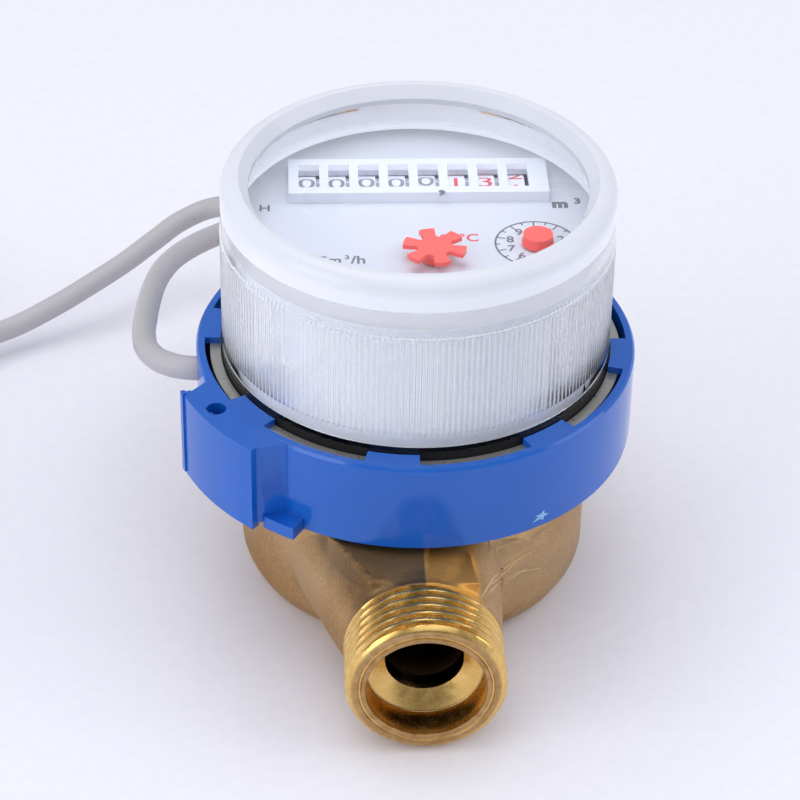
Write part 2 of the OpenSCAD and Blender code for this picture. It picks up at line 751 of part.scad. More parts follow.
// Red six-armed flow indicator: wide tips and rounded gaps
module star_wheel() {
    arms = 6;
    gap_r = 0.8;
    gap_at = star_r - 1.65;
    gap_mouth = 3.1;
    gap_turn = 13;
    color(coral) translate([star_at[0], star_at[1], 0]) difference() {
        union() {
            translate([0, 0, star_top - star_t]) linear_extrude(height = star_t) difference() {
                circle(r = star_r);
                for (i = [0 : arms - 1])
                    rotate([0, 0, gap_turn + i*360/arms]) {
                        translate([gap_at, 0]) circle(r = gap_r);
                        polygon([[gap_at, -gap_r*0.98], [star_r + 0.2, -gap_mouth/2],
                                 [star_r + 0.2, gap_mouth/2], [gap_at, gap_r*0.98]]);
                    }
            }
            translate([0, 0, dial_z + air_gap]) cylinder(r = 2, h = star_top - star_t - dial_z - air_gap);
        }
        translate([0, 0, dial_z]) cylinder(r = star_arbor_r, h = star_top - 0.6 - dial_z);
    }
}

module middle_gear() {
    color([0.95, 0.95, 0.9]) translate([middle_at[0], middle_at[1], 0]) {
        translate([0, 0, arbor_foot]) cylinder(r = arbor_r, h = plate_up_z + 1 - arbor_foot);
        spur_gear(second_module, middle_gear_teeth, second_level, gear_t, middle_turn);
        spur_gear(third_module, middle_pinion_teeth, third_level - 0.4, gear_t + 0.8, middle_turn);
    }
}

module pointer_gear() {
    color([0.95, 0.95, 0.9]) translate([pointer_at[0], pointer_at[1], 0]) difference() {
        union() {
            translate([0, 0, arbor_foot]) cylinder(r = arbor_r, h = pointer_top - 0.7 - arbor_foot);
            spur_gear(third_module, pointer_gear_teeth, third_level, gear_t, pointer_turn);
            spur_gear(transfer_module, transfer_teeth, first_level, gear_t, pointer_turn);
        }
        translate([0, -pulse_offset, third_level - 1]) cylinder(r = pulse_r, h = gear_t + 2);
    }
}

// Red disc of the small dial, slightly wider at its foot
module pointer_disc() {
    foot_z = dial_z + air_gap;
    color(coral) translate([pointer_at[0], pointer_at[1], 0]) difference() {
        union() {
            translate([0, 0, foot_z]) cylinder(r = pointer_r + 0.15, h = 0.7);
            translate([0, 0, foot_z]) cylinder(r = pointer_r, h = pointer_top - foot_z);
        }
        translate([0, 0, dial_z]) cylinder(r = arbor_r, h = pointer_top - 0.7 - dial_z);
    }
}

module pulse_magnet() {
    color([0.3, 0.3, 0.32]) translate([pointer_at[0], pointer_at[1] - pulse_offset, third_level])
        cylinder(r = pulse_r, h = pulse_h);
}

// Arbor with the transfer wheel and the two-start worm
module worm_arbor() {
    lobe = [[worm_root_r, -50], [worm_pitch_r, -33], [worm_tip_r, -20],
            [worm_tip_r, 20], [worm_pitch_r, 33], [worm_root_r, 50]];
    color([0.95, 0.95, 0.9]) translate([worm_at[0], worm_at[1], 0]) {
        translate([0, 0, arbor_foot]) cylinder(r = arbor_r, h = worm_z + worm_h + 1.4 - arbor_foot);
        spur_gear(transfer_module, transfer_teeth, first_level, gear_t, transfer_turn);
        translate([0, 0, worm_z]) rotate([0, 0, worm_turn])
            linear_extrude(height = worm_h, twist = -360*worm_h/worm_lead, slices = 36, $fn = 12)
                polygon([for (start = [0 : worm_starts - 1], p = lobe)
                    let (a = p[1] + start*360/worm_starts) p[0]*[cos(a), sin(a)]]);
    }
}

module wheel_shaft() {
    color(steel) along_x(bracket_left, wheel_y, wheel_z)
        cylinder(r = wheel_shaft_r, h = shaft_length);
}

module carry_shaft() {
    color(steel) along_x(bracket_left, wheel_y, carry_z)
        cylinder(r = carry_shaft_r, h = shaft_length);
}

// Toothed ring of a number wheel, with a tooth turned by phase from the bottom
module wheel_teeth(m, low, high, phase) {
    translate([0, 0, low]) rotate([0, 0, phase])
        linear_extrude(height = high - low) gear_outline(m, wheel_gear_teeth);
}

// Number wheel i: a rim for the digits, a toothed ring at its right and a notched locking disc at its left.
// The last wheel has its teeth further right, under the dial, where the worm drives them.
module number_wheel(i) {
    is_last = i == wheel_count - 1;
    hub_end = is_last ? drive_right : gear_right;
    hub_r = 2.2;
    web_t = 0.8;
    rim_t = 0.9;
    notch_w = 1.2;
    notch_depth = 1.4;
    color(white) along_x(wheel_x(i), wheel_y, wheel_z) difference() {
        union() {
            tube(wheel_r - rim_t, wheel_r, rim_left, rim_right);
            translate([0, 0, rim_right - web_t]) cylinder(r = wheel_r - rim_t/2, h = web_t);
            translate([0, 0, carry_left]) cylinder(r = hub_r, h = hub_end - carry_left);
            if (is_last)
                wheel_teeth(drive_module, drive_offset - drive_t/2, drive_right, 0);
            else
                wheel_teeth(wheel_module, rim_right - 0.1, gear_right, 180/wheel_gear_teeth);
            translate([0, 0, carry_left]) cylinder(r = lock_r, h = rim_left - carry_left + 0.3);
        }
        translate([0, 0, carry_left - 1]) cylinder(r = wheel_shaft_r + run_fit, h = hub_end - carry_left + 2);
        // Carry notch, turned on by the digit that shows
        rotate([0, 0, (digits[i] + 0.5)*36]) translate([lock_r - notch_depth, -notch_w/2, carry_left - 1])
            cube([3, notch_w, rim_left - carry_left + 1]);
    }
}

// Carry pinion between wheels i and i + 1: all teeth meet the left wheel, every second the locking disc
module carry_pinion(i) {
    start = rim_right + 0.2;
    middle = gear_right + 0.1;
    finish = carry_left + wheel_pitch + (rim_left - carry_left) - 0.25;
    color([0.85, 0.85, 0.8]) along_x(wheel_x(i), wheel_y, carry_z) difference() {
        union() {
            translate([0, 0, start]) rotate([0, 0, 180])
                linear_extrude(height = middle - start) gear_outline(carry_module, carry_teeth);
            translate([0, 0, start]) rotate([0, 0, 180 + 180/carry_teeth*2])
                linear_extrude(height = finish - start) gear_outline(carry_module, carry_teeth, 2);
        }
        translate([0, 0, start - 1]) cylinder(r = carry_shaft_r + run_fit, h = finish - start + 2);
    }
}

module sensor_board() {
    color([0.1, 0.4, 0.25]) translate([board_low[0], board_low[1], plate_up_z - board_t])
        cube([board_high[0] - board_low[0], board_high[1] - board_low[1], board_t]);
}

module reed_switch() {
    reed_x = (board_low[0] + board_high[0] - reed_length)/2;
    color([0.5, 0.6, 0.5]) along_x(reed_x, pointer_at[1] - pulse_offset, plate_up_z - board_t - reed_r)
        cylinder(r = reed_r, h = reed_length);
}

// Two-core lead from the cable's end, under the gear plate, up to the board
module inner_lead() {
    low = base_floor_z + base_floor + 1;
    path = [[cable_in_x, cable_y, cable_z], [-19, -3, low], [-12, -13, low], [0, lead_at[1], low],
            [lead_at[0] - 4.5, lead_at[1], low], [lead_at[0] - 1.6, lead_at[1], low + 0.9],
            [lead_at[0] - 0.5, lead_at[1], low + 2.8], [lead_at[0], lead_at[1], plate_up_z - board_t]];
    color([0.6, 0.6, 0.62]) swept_tube(path, lead_r, 8);
}

// Block that grips the cable in the slot of the base
module cable_grommet() {
    color([0.25, 0.25, 0.27]) difference() {
        intersection() {
            translate([-flange_r - 1, cable_y - grommet_w/2, rim_z])
                cube([flange_r - base_bore_r + 2, grommet_w, flange_h]);
            tube(base_bore_r + 0.2, flange_r, rim_z, flange_top);
        }
        translate([-flange_r - 2, cable_y, cable_z]) rotate([0, 90, 0]) cylinder(r = cable_r, h = flange_r);
    }
}

// Directions across a route at point i: one level, one upward
function route_tangent(p, i) = unit(p[min(i + 1, len(p) - 1)] - p[max(i - 1, 0)]);
function across(t) = unit(cross(t, [0, 0, 1]));
function ring_at(p, i, r, n) =
    let (t = route_tangent(p, i), side = across(t), up = cross(side, t))
    [for (k = [0 : n - 1]) p[i] + r*(cos(k*360/n)*side + sin(k*360/n)*up)];

// Tube swept along a list of points
module swept_tube(p, r, n) {
    count = len(p);
    points = [for (i = [0 : count - 1]) each ring_at(p, i, r, n)];
    walls = [for (i = [0 : count - 2], k = [0 : n - 1])
        [i*n + k, i*n + (k + 1) % n, (i + 1)*n + (k + 1) % n, (i + 1)*n + k]];
    start_cap = [for (k = [n - 1 : -1 : 0]) k];
    end_cap = [for (k = [0 : n - 1]) (count - 1)*n + k];
    polyhedron(points, concat(walls, [start_cap], [end_cap]), convexity = 8);
}

module signal_cable() {
    color([0.69, 0.68, 0.69]) swept_tube(cable_route, cable_r, cable_sides);
}

// Outer shape of the coiled rest of the cable
module cable_coil() {
    color([0.69, 0.68, 0.69]) translate([coil_at[0], coil_at[1], tie_t])
        rotate_extrude() translate([coil_r - coil_w/2, 0]) square([coil_w, coil_h]);
}

// Tie round the coil
module cable_tie() {
    color([0.08, 0.08, 0.08]) translate([coil_at[0], coil_at[1], 0]) rotate([0, 0, tie_angle]) difference() {
        translate([coil_r - coil_w/2 - tie_t, -tie_w/2, 0]) cube([coil_w + 2*tie_t, tie_w, coil_h + 2*tie_t]);
        tube(coil_r - coil_w/2, coil_r + coil_w/2, tie_t, tie_t + coil_h);
    }
}

// The cable's far end, which leaves the coil along -X, with two bare cores
module cable_cores() {
    translate([coil_at[0], coil_at[1] - outer_turn_r, tie_t + cable_r]) rotate([0, -90, 0]) {
        color([0.69, 0.68, 0.69]) translate([0, 0, tail_start])
            cylinder(r = cable_r, h = tail_end - tail_start);
        for (side = [-1, 1])
            color([0.8, 0.45, 0.3]) translate([0, side*(core_r + 0.15), tail_end - 1])
                cylinder(r = core_r, h = core_length + 1);
    }
}

brass_body();
inlet_strainer();
pivot_pin();
impeller();
impeller_magnet();
impeller_bush();
pressure_plate();
plate_seal();
clamp_ring();
locking_ring();
retaining_washer();
register_base();
case_gasket();
register_case();
bezel_ring();
inner_shell();
gear_frame();
upper_plate();
dial_plate();
rotor_pin();
drive_rotor();
rotor_magnet();
star_gear();
star_wheel();
middle_gear();
pointer_gear();
pointer_disc();
pulse_magnet();
worm_arbor();
wheel_shaft();
carry_shaft();
number_wheel(0);  // number_wheel_1
number_wheel(1);  // number_wheel_2
number_wheel(2);  // number_wheel_3
number_wheel(3);  // number_wheel_4
number_wheel(4);  // number_wheel_5
number_wheel(5);  // number_wheel_6
number_wheel(6);  // number_wheel_7
number_wheel(7);  // number_wheel_8
carry_pinion(0);  // carry_pinion_1
carry_pinion(1);  // carry_pinion_2
carry_pinion(2);  // carry_pinion_3
carry_pinion(3);  // carry_pinion_4
carry_pinion(4);  // carry_pinion_5
carry_pinion(5);  // carry_pinion_6
carry_pinion(6);  // carry_pinion_7
sensor_board();
reed_switch();
inner_lead();
cable_grommet();
signal_cable();
cable_coil();
cable_tie();
cable_cores();
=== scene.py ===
"""Looks of a single-jet water meter around its CAD frame: brass body, locking ring, clear register, lead."""
import json
import math

import bmesh
import bpy
from mathutils import Matrix, Quaternion, Vector, noise
from mathutils.bvhtree import BVHTree


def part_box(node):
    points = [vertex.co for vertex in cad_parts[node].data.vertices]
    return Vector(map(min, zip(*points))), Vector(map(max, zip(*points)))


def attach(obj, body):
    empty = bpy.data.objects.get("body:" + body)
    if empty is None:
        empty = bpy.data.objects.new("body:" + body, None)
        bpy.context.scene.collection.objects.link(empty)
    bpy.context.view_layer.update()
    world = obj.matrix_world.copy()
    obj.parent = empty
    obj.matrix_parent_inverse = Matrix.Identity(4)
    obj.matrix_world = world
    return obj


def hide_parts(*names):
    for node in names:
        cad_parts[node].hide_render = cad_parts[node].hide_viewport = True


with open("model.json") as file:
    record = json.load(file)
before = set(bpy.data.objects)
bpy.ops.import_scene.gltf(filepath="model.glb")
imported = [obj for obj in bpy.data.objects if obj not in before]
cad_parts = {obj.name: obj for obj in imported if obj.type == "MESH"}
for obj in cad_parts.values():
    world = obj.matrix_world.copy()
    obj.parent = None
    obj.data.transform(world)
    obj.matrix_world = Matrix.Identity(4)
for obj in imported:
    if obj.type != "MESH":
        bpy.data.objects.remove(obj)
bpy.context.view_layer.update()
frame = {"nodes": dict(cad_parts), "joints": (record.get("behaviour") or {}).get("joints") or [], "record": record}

NODES = frame["nodes"]
MM = 0.001

# Camera, in millimetres of the object's frame, and the lens as a focal length in pixels of the picture
CAMERA_AT = (-22.04, -402.59, 322.77)
CAMERA_AIM = (-2.35, 2.38, 30.18)
CAMERA_ROLL_DEG = 1.03
FOCAL_PX = 2870.9
PICTURE_PX = 800
SENSOR_MM = 36.0

# Heights and places that the CAD pieces give
PIPE_Z = sum(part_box("inlet_strainer")[k].z for k in (0, 1))/2
BODY_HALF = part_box("brass_body")[1].y
DIAL_Z = 67.95*MM
BOX_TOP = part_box("dial_plate")[1].z
BEZEL_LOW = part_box("bezel_ring")[0].z
BEZEL_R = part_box("bezel_ring")[1].x
WHEEL_COUNT = 8
WHEEL_Y = sum(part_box("wheel_shaft")[k].y for k in (0, 1))/2
WHEEL_Z = sum(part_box("wheel_shaft")[k].z for k in (0, 1))/2
WHEEL_R = 8.0*MM

# Lead: its route in millimetres, then the coil that takes up the rest. The route is the CAD source's own,
# but its last three points lie higher, to pass over the turn of the coil below them.
CABLE_D = 4.2*MM
CABLE_ROUTE = [
    (-36, -1.7, 40.3), (-38, -1.7, 40.3), (-42.5, 0.5, 39.8), (-45.6, 5, 39),
    (-46.8, 11, 38), (-46.8, 19, 36.8), (-46.4, 27, 35.4), (-45.6, 35, 33.8), (-44, 43, 32),
    (-41.4, 50.5, 30), (-37.8, 57.5, 28), (-33.6, 64, 26), (-30.4, 70, 24), (-29.2, 76, 22),
    (-31, 82, 20), (-36, 85.6, 18), (-42.5, 84, 16), (-48, 79.5, 14.2), (-53.5, 75, 12.2),
    (-60, 71, 9.8), (-68, 66.6, 7), (-77, 61.4, 5.2), (-86, 55.6, 6.4), (-94, 50.4, 7.15),
]
ENTRY_RUN = 11*MM
TAIL_RUN = 22*MM
TIE_T = 0.8*MM
COIL_R = 23*MM
# Rows of the coil, counted outward from the inner one, and layers, counted upward, in the order of winding
COIL_ORDER = [(2, 1), (1, 1), (0, 1), (0, 0), (1, 0)]
# The last turn ends in this row, and covers less than half of it
COIL_END = (2, 0)
COIL_POINTS = 36
# Shares of a turn over which the lead moves to its next row: within the lower layer, down, within the upper
MOVE_LOWER = (0.46, 0.62)
MOVE_DOWN = (0.63, 0.79)
MOVE_UPPER = (0.80, 0.96)
# Shares of the first turn over which it sinks to the floor and rises again
SINK = (0.17, 0.29)
RISE = (0.34, 0.46)

# Clear case: its ribs, the smooth lug, the bead above them, and the window
RIB_COUNT = 218
LUG_ANGLE = math.radians(-131)
LUG_HALF = 0.06
LUG_LOW = 57.0*MM
BEAD_LOW = 66.5*MM
BEAD_HIGH = 68.5*MM
WINDOW_LOW = 72.3*MM

# Bowl of the body and the ridge round it, in millimetres
BOWL_R = 30.1
BOWL_CORNER = 6.0
RIDGE_LOW = 20.2
RIDGE_REACH = 1.5

# Neck, in millimetres: its end at the spigot and its half width there, the flare of the solid's flank and of
# the slimmer one, the strip at its middle that stays, the stretch that is drawn in, and the room of the bore
NECK_END = 43.2
NECK_END_HALF = 12.9
NECK_FLARE = 0.39
NECK_SLIM_FLARE = 0.05
NECK_CORE = 4
NECK_FROM = 14
NECK_TO = 43.5
NECK_BORE_R = 9.9

# Waves of the cast skin: height and size of each, in millimetres
CAST_WAVES = [(0.10, 7), (0.05, 1.8)]

# Pipe thread, in millimetres
THREAD_PITCH = 1.814
THREAD_MAJOR_R = 13.2
THREAD_DEPTH = 1.1
THREAD_CHAMFER = 1.1
THREAD_START = 44.0
BORE_R = 6.5
SEAT_R = 9.8
SEAT_DEPTH = 5.8
CONE_R = 9.5
CONE_DEPTH = 2.0
# Shares of half a pitch that half a root and one flank take
THREAD_ROOT = 0.12
THREAD_FLANK = 0.6
# The crests fade in behind the end face along a curve: its rise, its power and its drop
LEAD_IN_RISE = 1.3
LEAD_IN_POWER = 0.75
LEAD_IN_DROP = 0.3
# Edges of the turned faces that are sharper than this stay crisp
THREAD_CRISP_DEG = 34


def srgb(red, green, blue):
    """Linear colour from 0 to 255 screen values."""
    def linear(value):
        share = value/255
        return share/12.92 if share <= 0.04045 else ((share + 0.055)/1.055)**2.4
    return (linear(red), linear(green), linear(blue), 1.0)


# Node helpers

class Graph:
    """A material's node tree, with short ways to add and join nodes."""

    def __init__(self, name):
        self.material = bpy.data.materials.new(name)
        self.material.use_nodes = True
        self.tree = self.material.node_tree
        self.shader = self.tree.nodes["Principled BSDF"]
        self.output = self.tree.nodes["Material Output"]
        self.place = self.add("ShaderNodeTexCoord").outputs["Object"]

    def add(self, kind, inputs=None, **settings):
        """A new node with these settings, its inputs fed."""
        made = self.tree.nodes.new(kind)
        for key, value in settings.items():
            setattr(made, key, value)
        for key, value in (inputs or {}).items():
            self.feed(made.inputs[key], value)
        return made

    def feed(self, socket, value):
        """Links a socket to an input, or sets the input's value."""
        if isinstance(value, bpy.types.NodeSocket):
            self.tree.links.new(value, socket)
        else:
            socket.default_value = value

    def set(self, **values):
        """Feeds the shader's inputs by name."""
        for key, value in values.items():
            self.feed(self.shader.inputs[key.replace("_", " ")], value)

    def math(self, operation, first, second=0.0):
        """Result of one operation on one or two values."""
        made = self.add("ShaderNodeMath", {0: first, 1: second}, operation=operation)
        return made.outputs[0]

    def times(self, first, *others):
        """Product of values."""
        for other in others:
            first = self.math("MULTIPLY", first, other)
        return first

    def length(self, first, second):
        """Length of the line with these two sides."""
        return self.math("SQRT", self.math("ADD", self.times(first, first), self.times(second, second)))

    def noise(self, size_mm, detail=3.0, roughness=0.5):
        """Noise with spots of about this size."""
        made = self.add("ShaderNodeTexNoise", {"Vector": self.place, "Scale": 0.5/(size_mm*MM),
                                               "Detail": detail, "Roughness": roughness})
        return made.outputs["Fac"]

    def stretch(self, value, low, high, to_low=0.0, to_high=1.0):
        """A value mapped from one range to another, and held within it."""
        made = self.add("ShaderNodeMapRange", {"Value": value, "From Min": low, "From Max": high,
                                               "To Min": to_low, "To Max": to_high})
        made.clamp = True
        return made.outputs["Result"]

    def ramp(self, value, span_mm):
        """Share that goes from nothing to full over a span in millimetres."""
        return self.stretch(value, span_mm[0]*MM, span_mm[1]*MM)

    def mix(self, share, first, second):
        """A share of the second colour in the first."""
        made = self.add("ShaderNodeMix", data_type="RGBA")
        self.feed(made.inputs["Factor"], share)
        self.feed(made.inputs[6], first)
        self.feed(made.inputs[7], second)
        return made.outputs[2]

    def bump(self, height, depth_mm, strength=1.0, under=None):
        """Normal of a relief of this depth, laid over another one if it is given."""
        made = self.add("ShaderNodeBump", {"Height": height, "Distance": depth_mm*MM, "Strength": strength})
        if under is not None:
            self.feed(made.inputs["Normal"], under)
        return made.outputs["Normal"]

    def axes(self):
        """The place's X, Y and Z."""
        made = self.add("ShaderNodeSeparateXYZ", {"Vector": self.place})
        return made.outputs[0], made.outputs[1], made.outputs[2]


# Materials

# Colour of the painted glow of the white pieces
PAINTED_GLOW_WHITE = srgb(232, 234, 243)


def moulded(name, colour, roughness, spread, grain_mm=0.35, depth_mm=0.006, metallic=0.0, painted_glow=0.0):
    """Moulded or pressed material: slight drift of tone and gloss, a fine skin, and a painted glow if it is given.
    """
    g = Graph(name)
    broad = g.noise(9.0, 2.0)
    fine = g.noise(grain_mm, 3.0)
    dark = tuple(c*(1 - spread) for c in colour[:3]) + (1.0,)
    light = tuple(min(1.0, c*(1 + spread)) for c in colour[:3]) + (1.0,)
    g.set(Base_Color=g.mix(g.stretch(broad, 0.3, 0.7), dark, light), Metallic=metallic)
    g.set(Roughness=g.stretch(fine, 0.25, 0.75, roughness*0.85, min(1.0, roughness*1.15)))
    g.set(Normal=g.bump(fine, depth_mm))
    # Painted glow: emission in the plastic's own colour, which lifts its shade as if light came through it
    g.set(Emission_Color=colour, Emission_Strength=painted_glow)
    return g.material


# Bounds of the looks of the white pieces, in millimetres: each pair goes from nothing to the full share.
# The room in the counter box is measured from the dial's face, the box's top, the wheels' axis and its own
# middle.
ROOM_LOW = (-3.0, -2.0)
ROOM_HIGH = (-0.02, -0.1)
ROOM_FRONT = (-4.9, -4.7)
ROOM_BACK = (5.2, 5.0)
ROOM_MIDDLE_X = 0.45
ROOM_HALF = (21.4, 21.2)
# The printed face and the skirt under it are measured from the dial's face
FACE_LOW = (-0.04, -0.02)
FACE_HIGH = (0.04, 0.02)
SKIRT_HIGH = (-0.1, -0.2)
SKIRT_R = (30.0, 30.1)
# The bezel's lower wall is measured from its outer radius and its lower edge
WALL_R = (-0.5, -0.3)
WALL_HIGH = (4.2, 2.0)
WALL_LOW = (-0.2, -0.1)
# Strengths of the painted glow in the counter box, on the dial's skirt and on the bezel's lower wall
PAINTED_ROOM_GLOW = 0.2
PAINTED_SKIRT_GLOW = 0.05
PAINTED_WALL_GLOW = 0.16


def white_plastic():
    """White satin plastic, with a painted glow in the counter box, on the dial's skirt and on the bezel's lower
    wall.
    """
    g = Graph("white_plastic")
    drift = g.noise(9.0, 2.0)
    x, y, z = g.axes()
    over_dial = g.math("SUBTRACT", z, DIAL_Z)
    over_box = g.math("SUBTRACT", z, BOX_TOP)
    over_bezel = g.math("SUBTRACT", z, BEZEL_LOW)
    behind_axis = g.math("SUBTRACT", y, WHEEL_Y)
    beside = g.math("ABSOLUTE", g.math("SUBTRACT", x, ROOM_MIDDLE_X*MM))
    radius = g.length(x, y)
    # Painted glow in the counter box, which lifts the shade under its roof
    inside = g.times(g.ramp(over_dial, ROOM_LOW), g.ramp(over_box, ROOM_HIGH),
                     g.ramp(behind_axis, ROOM_FRONT), g.ramp(behind_axis, ROOM_BACK),
                     g.ramp(beside, ROOM_HALF))
    # The printed face of the dial is greyer than the moulded pieces, and its skirt gets a painted glow
    face = g.times(g.ramp(over_dial, FACE_LOW), g.ramp(over_dial, FACE_HIGH))
    skirt = g.times(g.ramp(over_dial, SKIRT_HIGH), g.ramp(radius, SKIRT_R))
    # The lower wall of the bezel ring gets a painted glow, which lifts the shade on it
    wall = g.times(g.ramp(g.math("SUBTRACT", radius, BEZEL_R), WALL_R), g.ramp(over_bezel, WALL_HIGH),
                   g.ramp(over_bezel, WALL_LOW))
    white = g.mix(drift, srgb(222, 225, 235), srgb(229, 232, 242))
    g.set(Base_Color=g.mix(face, white, srgb(212, 215, 224)))
    g.set(Roughness=g.stretch(drift, 0.3, 0.7, 0.26, 0.34))
    painted_glow = g.math("ADD", g.times(inside, PAINTED_ROOM_GLOW), g.times(skirt, PAINTED_SKIRT_GLOW))
    painted_glow = g.math("ADD", painted_glow, g.times(wall, PAINTED_WALL_GLOW))
    g.set(Emission_Color=PAINTED_GLOW_WHITE, Emission_Strength=painted_glow)
    return g.material


def bore_share(g, x, y, z):
    """How far a place lies inside the water bore, from 0 to 1, which sets the painted shade there."""
    radius = g.length(x, g.math("SUBTRACT", z, PIPE_Z))
    mouth = BODY_HALF/MM - SEAT_DEPTH - CONE_DEPTH
    narrow = g.ramp(radius, (BORE_R + 0.25, BORE_R + 0.1))
    deep = g.ramp(g.math("ABSOLUTE", y), (mouth - 0.1, mouth - 1.5))
    return g.times(narrow, deep)


# Bounds of the painted light on the land and of the darker area on the front neck, in millimetres: each pair goes
# from nothing to the full share
PAINTED_LIGHT_LEFT = (0.1, 0.4)
PAINTED_LIGHT_RIGHT = (9.5, 8.5)
PAINTED_LIGHT_LOW = (17.0, 20.0)
PAINTED_LIGHT_FRONT = (-22.0, -25.0)
DARK_NECK_RIGHT = (0.2, 0.0)
DARK_NECK_LEFT = (-15.0, -8.0)
DARK_NECK_LOW = (20.5, 25.0)
DARK_NECK_FRONT = (-24.0, -28.0)
# How far the dark area's left and lower bounds wander
DARK_NECK_LEFT_DRIFT = 10*MM
DARK_NECK_LOW_DRIFT = 4*MM
# Painted shade deep in the water bore
PAINTED_BORE_SHADE = srgb(38, 26, 16)


def cast_brass():
    """Sand-cast brass: brown gold grain, darker on the upper front neck, a painted pool of light on the land right
    of the parting line, painted shade deep in the bore.
    """
    g = Graph("cast_brass")
    grain = g.noise(0.22, 4.0, 0.7)
    pits = g.noise(1.1, 3.0)
    cloud = g.noise(11.0, 3.0)
    x, y, z = g.axes()
    brown = g.mix(g.stretch(cloud, 0.35, 0.65), srgb(172, 132, 82), srgb(196, 164, 124))
    gold = g.mix(g.times(g.stretch(grain, 0.5, 0.75), 0.6), brown, srgb(226, 190, 132))
    # Painted light: brighter gold on the land right of the parting line
    painted_light = g.times(g.ramp(x, PAINTED_LIGHT_LEFT), g.ramp(x, PAINTED_LIGHT_RIGHT), g.ramp(z, PAINTED_LIGHT_LOW), g.ramp(y, PAINTED_LIGHT_FRONT))
    gold = g.mix(g.times(painted_light, 0.75), gold, srgb(236, 172, 78))
    # Darker colour on the raised land left of the parting line
    left_end = g.ramp(g.math("ADD", x, g.times(cloud, DARK_NECK_LEFT_DRIFT)), DARK_NECK_LEFT)
    high = g.ramp(g.math("ADD", z, g.times(pits, DARK_NECK_LOW_DRIFT)), DARK_NECK_LOW)
    dark_neck = g.times(g.ramp(x, DARK_NECK_RIGHT), left_end, high, g.ramp(y, DARK_NECK_FRONT))
    darkened = g.mix(g.times(dark_neck, 0.62), gold, srgb(66, 48, 32))
    spots = g.stretch(cloud, 0.6, 0.72)
    skin = g.mix(g.times(spots, 0.35), darkened, srgb(112, 100, 92))
    # Painted shade: dark colour deep inside the water bore
    g.set(Base_Color=g.mix(bore_share(g, x, y, z), skin, PAINTED_BORE_SHADE))
    g.set(Metallic=0.92, Roughness=g.stretch(grain, 0.3, 0.7, 0.62, 0.4))
    under = g.bump(pits, 0.10, 0.6)
    g.set(Normal=g.bump(grain, 0.05, 0.9, under))
    return g.material


# Fineness of the rings that the lathe tool leaves
TOOL_RINGS = 4200.0


def turned_brass():
    """Brass off the lathe: rings left by the tool, bright gold, duller on the flat end face, with painted shade
    deep in the bore.
    """
    g = Graph("turned_brass")
    x, y, z = g.axes()
    radius = g.length(x, g.math("SUBTRACT", z, PIPE_Z))
    along = g.math("ABSOLUTE", y)
    rings = g.add("ShaderNodeTexNoise", {"W": g.math("ADD", radius, along), "Scale": TOOL_RINGS,
                                         "Detail": 3.0}, noise_dimensions="1D")
    scuffs = g.noise(0.8, 4.0, 0.6)
    end = g.stretch(along, BODY_HALF - 0.35*MM, BODY_HALF - 0.1*MM)
    gold = g.mix(g.stretch(scuffs, 0.35, 0.7), srgb(220, 178, 102), srgb(238, 202, 130))
    # The sealing recess is duller than the thread
    recess = g.times(g.ramp(radius, (SEAT_R + 0.1, SEAT_R - 0.05)),
                     g.ramp(radius, (SEAT_R - 0.3, SEAT_R - 0.2)))
    gold = g.mix(g.times(recess, 0.8), gold, srgb(168, 136, 96))
    face = g.mix(g.stretch(scuffs, 0.35, 0.65), srgb(164, 128, 84), srgb(190, 156, 110))
    # Painted shade: dark colour deep inside the water bore
    g.set(Base_Color=g.mix(bore_share(g, x, y, z), g.mix(end, gold, face), PAINTED_BORE_SHADE), Metallic=1.0)
    dull = g.times(end, 0.14)
    g.set(Roughness=g.math("ADD", g.stretch(scuffs, 0.3, 0.7, 0.2, 0.32), dull))
    under = g.bump(rings.outputs["Fac"], 0.006, 0.8)
    g.set(Normal=g.bump(scuffs, 0.005, 0.4, under))
    return g.material


# Bounds of the ribs, in millimetres: each pair goes from nothing to the full share
RIBS_LOW = (47.9, 49.0)
RIBS_HIGH = (67.0, 66.4)
# How much the ribs and the shoulder over the bead cloud the view, as multiples of the haze
RIB_HAZE = 2.4
SHOULDER_HAZE = 2.0


def clear_plastic(name, bend, haze, passed):
    """Clear moulded plastic that lets a share of the lamps' light through, with hazy ribs in its wall."""
    g = Graph(name)
    x, y, z = g.axes()
    flow = g.noise(6.0, 2.0)
    ribbed = g.times(g.ramp(z, RIBS_LOW), g.ramp(z, RIBS_HIGH))
    angle = g.math("ARCTAN2", y, x)
    stripe = g.stretch(g.math("SINE", g.times(angle, RIB_COUNT)), -0.3, 0.9)
    # No ribs run over the smooth lug
    from_lug = g.math("ABSOLUTE", g.math("SUBTRACT", angle, LUG_ANGLE))
    lug = g.times(g.stretch(from_lug, LUG_HALF + 0.003, LUG_HALF), g.stretch(z, LUG_LOW, LUG_LOW + 0.3*MM))
    ribs = g.times(ribbed, stripe, g.math("SUBTRACT", 1.0, lug))
    shoulder = g.times(g.stretch(z, BEAD_HIGH, BEAD_HIGH + 0.4*MM), SHOULDER_HAZE*haze)
    clear = g.math("SUBTRACT", g.math("SUBTRACT", 1.0, g.times(ribs, RIB_HAZE*haze)), shoulder)
    g.set(Base_Color=srgb(250, 251, 254), IOR=bend, Transmission_Weight=clear if haze else 1.0)
    g.set(Roughness=g.math("ADD", g.times(ribbed, haze), g.stretch(flow, 0.3, 0.7, 0.02, 0.05)))
    g.set(Normal=g.bump(flow, 0.02, 0.4))
    light = g.add("ShaderNodeLightPath").outputs["Is Shadow Ray"]
    open_way = g.add("ShaderNodeBsdfTransparent", {"Color": passed})
    blend = g.add("ShaderNodeMixShader", {0: light, 1: g.shader.outputs[0], 2: open_way.outputs[0]})
    g.feed(g.output.inputs["Surface"], blend.outputs[0])
    return g.material


